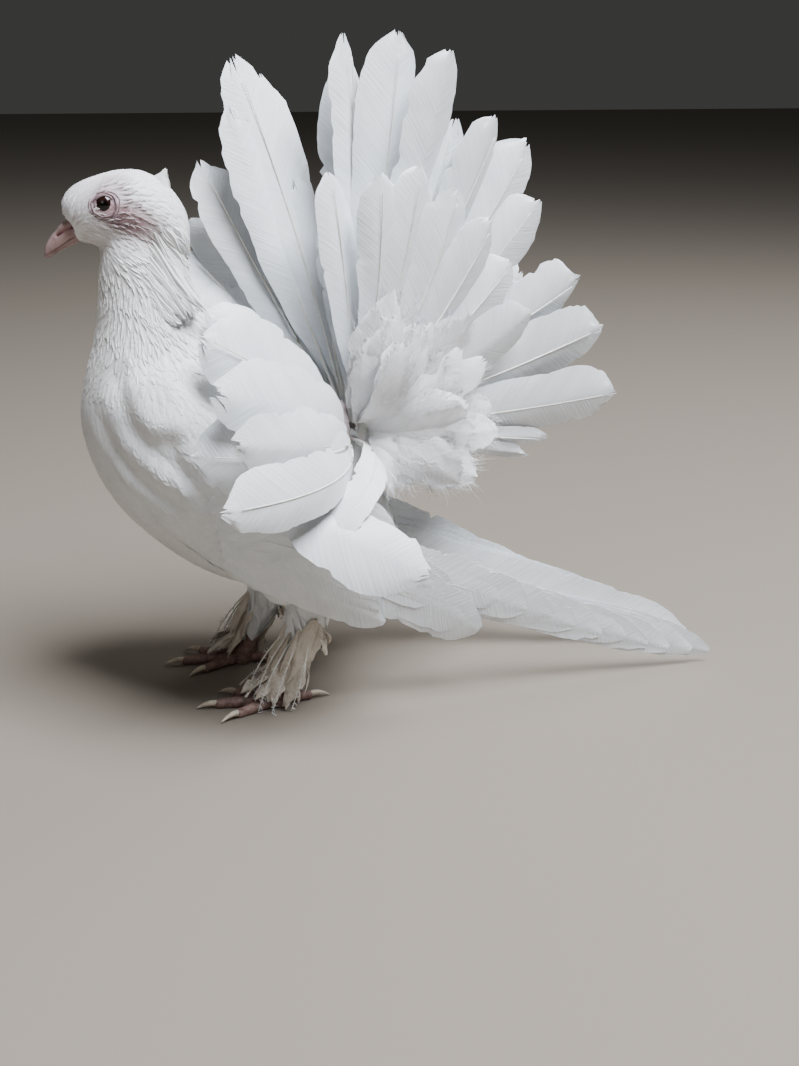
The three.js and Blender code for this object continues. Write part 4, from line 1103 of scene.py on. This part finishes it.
def eye(side):
    """A dark eyeball, bulging a little at the cornea, and the lids round it."""
    word = "left" if side > 0 else "right"
    rings, sides = 40, 56
    a = np.linspace(0.001, np.pi - 0.001, rings)[:, None]
    b = 2 * np.pi * np.arange(sides)[None] / sides
    ball = EYE["ball"] * (1 + 0.04 * np.exp(-(a / 0.5) ** 2))
    round_axis = ball * np.sin(a)
    p = np.stack([side * ball * np.cos(a) + 0 * b, round_axis * np.cos(b), round_axis * np.sin(b)], -1)
    points, faces = loft(turned_head(p + [side * EYE["x"], EYE["y"], EYE["z"]]))
    from_axis = np.repeat(np.where(a < np.pi / 2, np.sin(a) * EYE["ball"] / IRIS_RADIUS, 1.0), sides)
    uv = np.stack([np.clip(np.append(from_axis, (0, 1)), 0, 1), np.zeros(len(points))], -1)
    piece(f"eye_{word}_ball", points, faces[:, ::side], wet_eye, uv, bake_place(points),
          (f"eye_{word}",))
    lids(side, word)


def lids(side, word):
    """The bare rings round the eye, and the wrinkles that run back and down from them."""
    steps = 80
    turn = np.linspace(0, 2 * np.pi * (1 + 1.5 / steps), steps)
    rings = [(r, turn, thick, share) for r, thick, share in LID_RINGS]
    for k in range(WRINKLES):
        r = WRINKLE_FROM + WRINKLE_STEP * k
        middle, reach = rng.uniform(-1.3, -0.7), rng.uniform(1.0, 1.7) / r ** 0.5
        rings.append((r, np.linspace(middle - reach, middle + reach, steps), rng.uniform(0.2, 0.32), 0.1))
    lines, radii = [], []
    for r, a, thick, share in rings:
        wobble = r * (1 + 0.02 * np.sin(3 * a + r) + 0.012 * np.sin(8 * a + 2 * r))
        back, up = wobble * np.cos(a) * (1 + 0.02 * r), wobble * np.sin(a)
        if r > 6.3:
            up = up * 0.72 - 0.18 * back
            back = back + 0.12 * r
        x = 0 * a + side * (EYE["x"] + RIM_OUT)
        ring = turned_head(np.stack([x, EYE["y"] + back, EYE["z"] + up], -1))
        taper = np.ones(steps)
        if r > 4:
            on_skin, normal = nearest(skin_tree, ring)
            ring = on_skin + normal * (share * thick)
        if r > 6.3:
            taper = np.sin(np.linspace(0.05, np.pi - 0.05, steps)) ** 0.5
        lines.append(ring)
        radii.append(thick * taper * (1 + 0.15 * np.sin(5 * a + 3 * r)))
    rods(f"lids_{word}", np.array(lines), np.array(radii), lid_skin, 10)


# The crest's peak, and the outline of its foot on the crown: y, z in front, y, z behind, half width.
CREST = dict(peak=(0, -30.6, 221.4), front=(-41, 216.4), rear=(-27.5, 210.5), half=7.0)


def crest():
    """The small peak at the back of the crown: feathers rooted in a ring whose tips draw together."""
    count, rows = 230, 10
    turn, inward = rng.uniform(0, 2 * np.pi, count), rng.uniform(0, 1, count) ** 0.6
    (y0, z0), (y1, z1) = CREST["front"], CREST["rear"]
    share = 0.5 + 0.5 * np.cos(turn) * inward
    x = CREST["half"] * np.sin(turn) * inward
    root = np.stack([x, y0 + (y1 - y0) * share, z0 + (z1 - z0) * share - 0.1 * x ** 2 - 1], -1)
    back = np.clip(1.6 * share - 0.75, 0, 1)
    tip = np.array(CREST["peak"]) + np.stack([0.1 * x, 0.6 * back, -7.5 * back], -1)
    tip = root + (tip - root) * rng.uniform(0.55, 1.04, (count, 1)) + rng.normal(0, 0.25, (count, 3))
    middle = (root + tip) / 2
    outward = unit(np.stack([x * 1.2, (share - 0.5) * 6, 0.8 + 0 * x], -1))
    line = bowed(root[:, None], (middle - 0.6 * outward)[:, None], tip[:, None], shares(rows)[None, :, None])
    line, spots = turned_head(line), turned_head(root)
    tangent = heading_of(line)
    side = unit(np.cross(tangent, outward[:, None]))
    half = 0.5 * rng.uniform(2.2, 3.6, (count, 1)) * HACKLE(shares(rows))[None]
    vanes("crest_feathers", line, side, np.cross(side, tangent), half, half, bake_place(spots),
          hackle_feather, 5, 0.14, 0.12, 0.15)


# Legs and feet

# Each toe is its turn from straight ahead in degrees and its length. The curves give a claw's height and
# share of its thickness at each place ahead of the toe's end, and the shank's radius at each height.
TOES = {"middle": (0, 27), "inner": (32, 21), "outer": (-32, 22), "hind": (168, 15)}
TOE_THICK, TOE_THIN, CLAW_LENGTH, CLAW_THICK = 3.0, 2.1, 8.0, 1.35
CLAW_HEIGHT = smooth((-2, 2.1), (1.5, 2.5), (4.5, 2.0), (8, 0.55))
CLAW_SHAPE = smooth((-2, 1), (1.5, 0.92), (4.5, 0.66), (8, 0.16))
SHANK = smooth((0, 4.6), (4, 4.9), (8, 4.4), (14, 4.9))
SHANK_TOP = 14
FLOOR_GAP = 0.00002


def stood_on_floor(made):
    """Flattens onto the floor what would sink into it. The gap is in metres."""
    for vertex in made.data.vertices:
        vertex.co.z = max(vertex.co.z, FLOOR_GAP)


def foot(side):
    """Four toes with claws, the shank above them, and the muff that covers both."""
    word = "left" if side > 0 else "right"
    rows, shank_rows = 40, 34
    f = shares(rows)
    thick = TOE_THICK + (TOE_THIN - TOE_THICK) * f
    lines, radii, claw_lines, claw_radii = [], [], [], []
    for turn, length in TOES.values():
        a = math.radians(turn)
        heading = np.array([-math.sin(a), -math.cos(a), 0])
        out_to = lambda along, height: standing(np.array([FOOT_X, 0, 0]) + heading * along[:, None]
                                                + [0, 0, 1] * height[:, None], side)
        swell = 1 - 0.1 * np.sin(f * 3 * np.pi) ** 2 + 0.035 * np.sin(f * length * 3.4)
        lines.append(out_to(length * f, 0.86 * thick))
        radii.append(thick * swell * np.sqrt(np.clip((1.04 - f) / 0.1, 0, 1)))
        d = np.linspace(-2, CLAW_LENGTH, 14)
        claw_lines.append(out_to(length + d, CLAW_HEIGHT(d)))
        claw_radii.append(CLAW_THICK * CLAW_SHAPE(d))
    stood_on_floor(rods(f"toes_{word}", np.array(lines), np.array(radii), scute_skin, 14,
                        (f"foot_{word}",)))
    rods(f"claws_{word}", np.array(claw_lines), np.array(claw_radii), claw_horn, 12,
         nodes=tuple(f"claw_{word}_{name}" for name in TOES))
    z = np.linspace(0.4, SHANK_TOP, shank_rows)
    shank = np.stack([np.full(shank_rows, FOOT_X), 0.28 * z - 0.4, z], -1)
    girth = SHANK(z) * (1 + 0.03 * np.sin(z * 3.6))
    stood_on_floor(rods(f"shank_{word}", standing(shank, side)[None], girth[None], scute_skin,
                        24))
    muff(side, word)


# The feathers of the muff in groups: how many, their first and last heading in degrees from outwards to
# the rear, and the ranges of root height, tip height and reach.
MUFF = [(20, -130, 85, (26, 40), (7, 15), (6, 9.5)), (20, -125, 80, (14, 27), (1.2, 5), (6.5, 11)),
        (7, -115, -55, (12, 20), (3, 7), (13, 19)), (12, 60, 120, (28, 40), (20, 30), (10, 15))]
MUFF_FLOOR = 0.9
# Worn shafts of the muff: heading in degrees, root height, tip height and reach.
WORN_SHAFTS = [(-62, 33, 1.5, 12), (-40, 30, 1.2, 14), (-80, 34, 5, 15), (-15, 31, 1.4, 13),
               (25, 30, 1.3, 12)]
BARBS_ON_SHAFT = 46


def leg_middle(z):
    """Points on the leg's middle at the heights z, drawn for the left leg."""
    return np.stack([24.0 + 0 * z, 0.36 * z - 1.0, z], -1)


def muff(side, word):
    """The long narrow feathers that hang from the leg over the foot, with a short tuft behind the hock."""
    rows = 18
    u = shares(rows)[None, :, None]
    lines, widths, outs = [], [], []
    for count, first, last, height, low, reach in MUFF:
        turn = np.radians(rng.permutation(np.linspace(first, last, count)) + rng.normal(0, 6, count))
        out = np.stack([np.cos(turn), np.sin(turn), 0 * turn], -1)
        high, tip_z = rng.uniform(*height, count), rng.uniform(*low, count)
        ahead = np.clip(-np.sin(turn), 0, 1) * (tip_z < 10) * (reach[0] < 18)
        tip_z = np.maximum(tip_z, 7.0 * ahead)
        root = leg_middle(high) + out * smooth((6, 2.5), (22, 4), (40, 7))(high)[:, None]
        tip = leg_middle(tip_z) + out * rng.uniform(*reach, count)[:, None]
        middle = (root + tip) / 2 + out * rng.uniform(0.5, 3.5, (count, 1)) + [0, 0, 2]
        bent = bowed(root[:, None], middle[:, None], tip[:, None], u)
        bent = bent + rng.normal(0, 0.5, (count, 1, 3)) * np.sin(6 * u)
        bent[..., 2] = np.maximum(bent[..., 2], MUFF_FLOOR)
        lines.append(bent)
        outs.append(out)
        widths.append(rng.uniform(3.0, 7.2, count))
    line, out, width = standing(np.concatenate(lines), side), np.concatenate(outs), np.concatenate(widths)
    tangent = heading_of(line)
    face = unit(out * [side, 1, 1] + [0, 0, 0.6])[:, None]
    across = turned(unit(np.cross(tangent, face)), tangent, rng.normal(0, 0.4, (len(line), 1, 1)))
    half = 0.5 * width[:, None] * STRAP(shares(rows))[None]
    vanes(f"muff_{word}", line, across, np.cross(across, tangent), ragged(half, 0.12, 4),
          ragged(half, 0.12, 4), bake_place(line[:, 0]), muff_feather, 7, 0.22, 0.2, 0.2, wave=0.5)
    frayed_shafts(side, word)


def frayed_shafts(side, word):
    """Muff feathers worn to their shafts, with short curled barbs left along them."""
    steps = 40
    f, t = shares(steps)[:, None], shares(8)[:, None]
    shafts, barbs, radii = [], [], []
    for turn, high, low, reach in WORN_SHAFTS:
        out = np.array([math.cos(math.radians(turn)), math.sin(math.radians(turn)), 0])
        root, tip = leg_middle(high) + 7 * out, leg_middle(low) + reach * out
        arch = np.sin(np.pi * f)
        line = root * (1 - f) + tip * f + out * 2.2 * arch + np.array([0, 0, 1.2]) * arch
        shafts.append(line)
        for k in range(BARBS_ON_SHAFT):
            at = rng.uniform(0.25, 1) ** 0.8
            start = line[min(steps - 1, int(at * steps))]
            way = unit(rng.normal(0, 1, 3) + [0, 0, -0.4] + 0.5 * out)
            bend = unit(np.cross(way, rng.normal(0, 1, 3)))
            long = rng.uniform(1.2, 3.0)
            barb = start + long * (way * np.sin(1.9 * t) / 1.9 + bend * (1 - np.cos(1.9 * t)) / 1.9)
            barb[:, 2] = np.maximum(barb[:, 2], 0.4)
            barbs.append(barb)
            radii.append(0.16 * (1 - 0.7 * t[:, 0]))
    shafts = standing(np.array(shafts), side)
    rods(f"muff_{word}_shafts", shafts, (0.42 - 0.25 * f[:, 0])[None] + 0 * shafts[..., 0], quill)
    rods(f"muff_{word}_barbs", standing(np.array(barbs), side), np.array(radii), quill, 4)


# Setting

# Lights: name, place in metres from the bird's middle, size in metres, watts, colour
LIGHTS = [("sky", (0.42, 0.42, 1.25), 0.8, 76.0, "#f1f6ff"),
          ("window", (1.0, -0.8, 0.7), 0.6, 1.5, "#fdfcff"),
          ("rear", (-0.6, 0.9, 0.9), 0.7, 5.0, "#ffffff")]
SKY_COLOUR, SKY_STRENGTH = "#b4b3b1", 0.1


def setting():
    """A grey-brown floor under soft light from above, with a little from the front left and from behind."""
    mesh = bpy.data.meshes.new("floor")
    mesh.from_pydata([(-6, -6, 0), (6, -6, 0), (6, 6, 0), (-6, 6, 0)], [], [(0, 1, 2, 3)])
    floor = bpy.data.objects.new("floor", mesh)
    mesh.materials.append(material("studio_floor", "#7d7468", Roughness=0.85)[0])
    bpy.context.scene.collection.objects.link(floor)
    world = bpy.data.worlds.new("studio")
    world.use_nodes = True
    world.node_tree.nodes["Background"].inputs["Color"].default_value = linear(SKY_COLOUR)
    world.node_tree.nodes["Background"].inputs["Strength"].default_value = SKY_STRENGTH
    bpy.context.scene.world = world
    middle = Vector((*(SHIFT[:2] / 1000), 0.12))
    for name, place, size, energy, colour in LIGHTS:
        light = bpy.data.objects.new(name, bpy.data.lights.new(name, "AREA"))
        light.data.size, light.data.energy, light.data.color = size, energy, linear(colour)[:3]
        light.location = Vector(place) + middle
        light.rotation_euler = (middle - light.location).to_track_quat("-Z", "Y").to_euler()
        bpy.context.scene.collection.objects.link(light)


# The photo's view: 80 degrees round from the front, 18 down, from 612 mm away.
VIEW_TURN, VIEW_DOWN, FOCAL_PIXELS, FRAME_HEIGHT = math.radians(80), math.radians(18), 1500.0, 1066
VIEW_AWAY, VIEW_ALONG, VIEW_HEIGHT = 612.0, 62.0, 268.0
SENSOR_HEIGHT = 36.0


def camera():
    """The photo's camera."""
    out = np.array([math.sin(VIEW_TURN), -math.cos(VIEW_TURN), 0])
    right = np.array([math.cos(VIEW_TURN), math.sin(VIEW_TURN), 0])
    made = bpy.data.objects.new("camera", bpy.data.cameras.new("camera"))
    made.data.sensor_fit, made.data.sensor_height = "VERTICAL", SENSOR_HEIGHT
    made.data.lens = SENSOR_HEIGHT * FOCAL_PIXELS / FRAME_HEIGHT
    made.location = row_frame(VIEW_AWAY * out + VIEW_ALONG * right + [0, 0, VIEW_HEIGHT])
    made.rotation_euler = (math.pi / 2 - VIEW_DOWN, 0, VIEW_TURN)
    bpy.context.scene.collection.objects.link(made)
    bpy.context.scene.camera = made


camera()
setting()
skin_piece()
body_coat()
for side in (1, -1):
    wing(side)
    eye(side)
    foot(side)
tail()
bill()
crest()
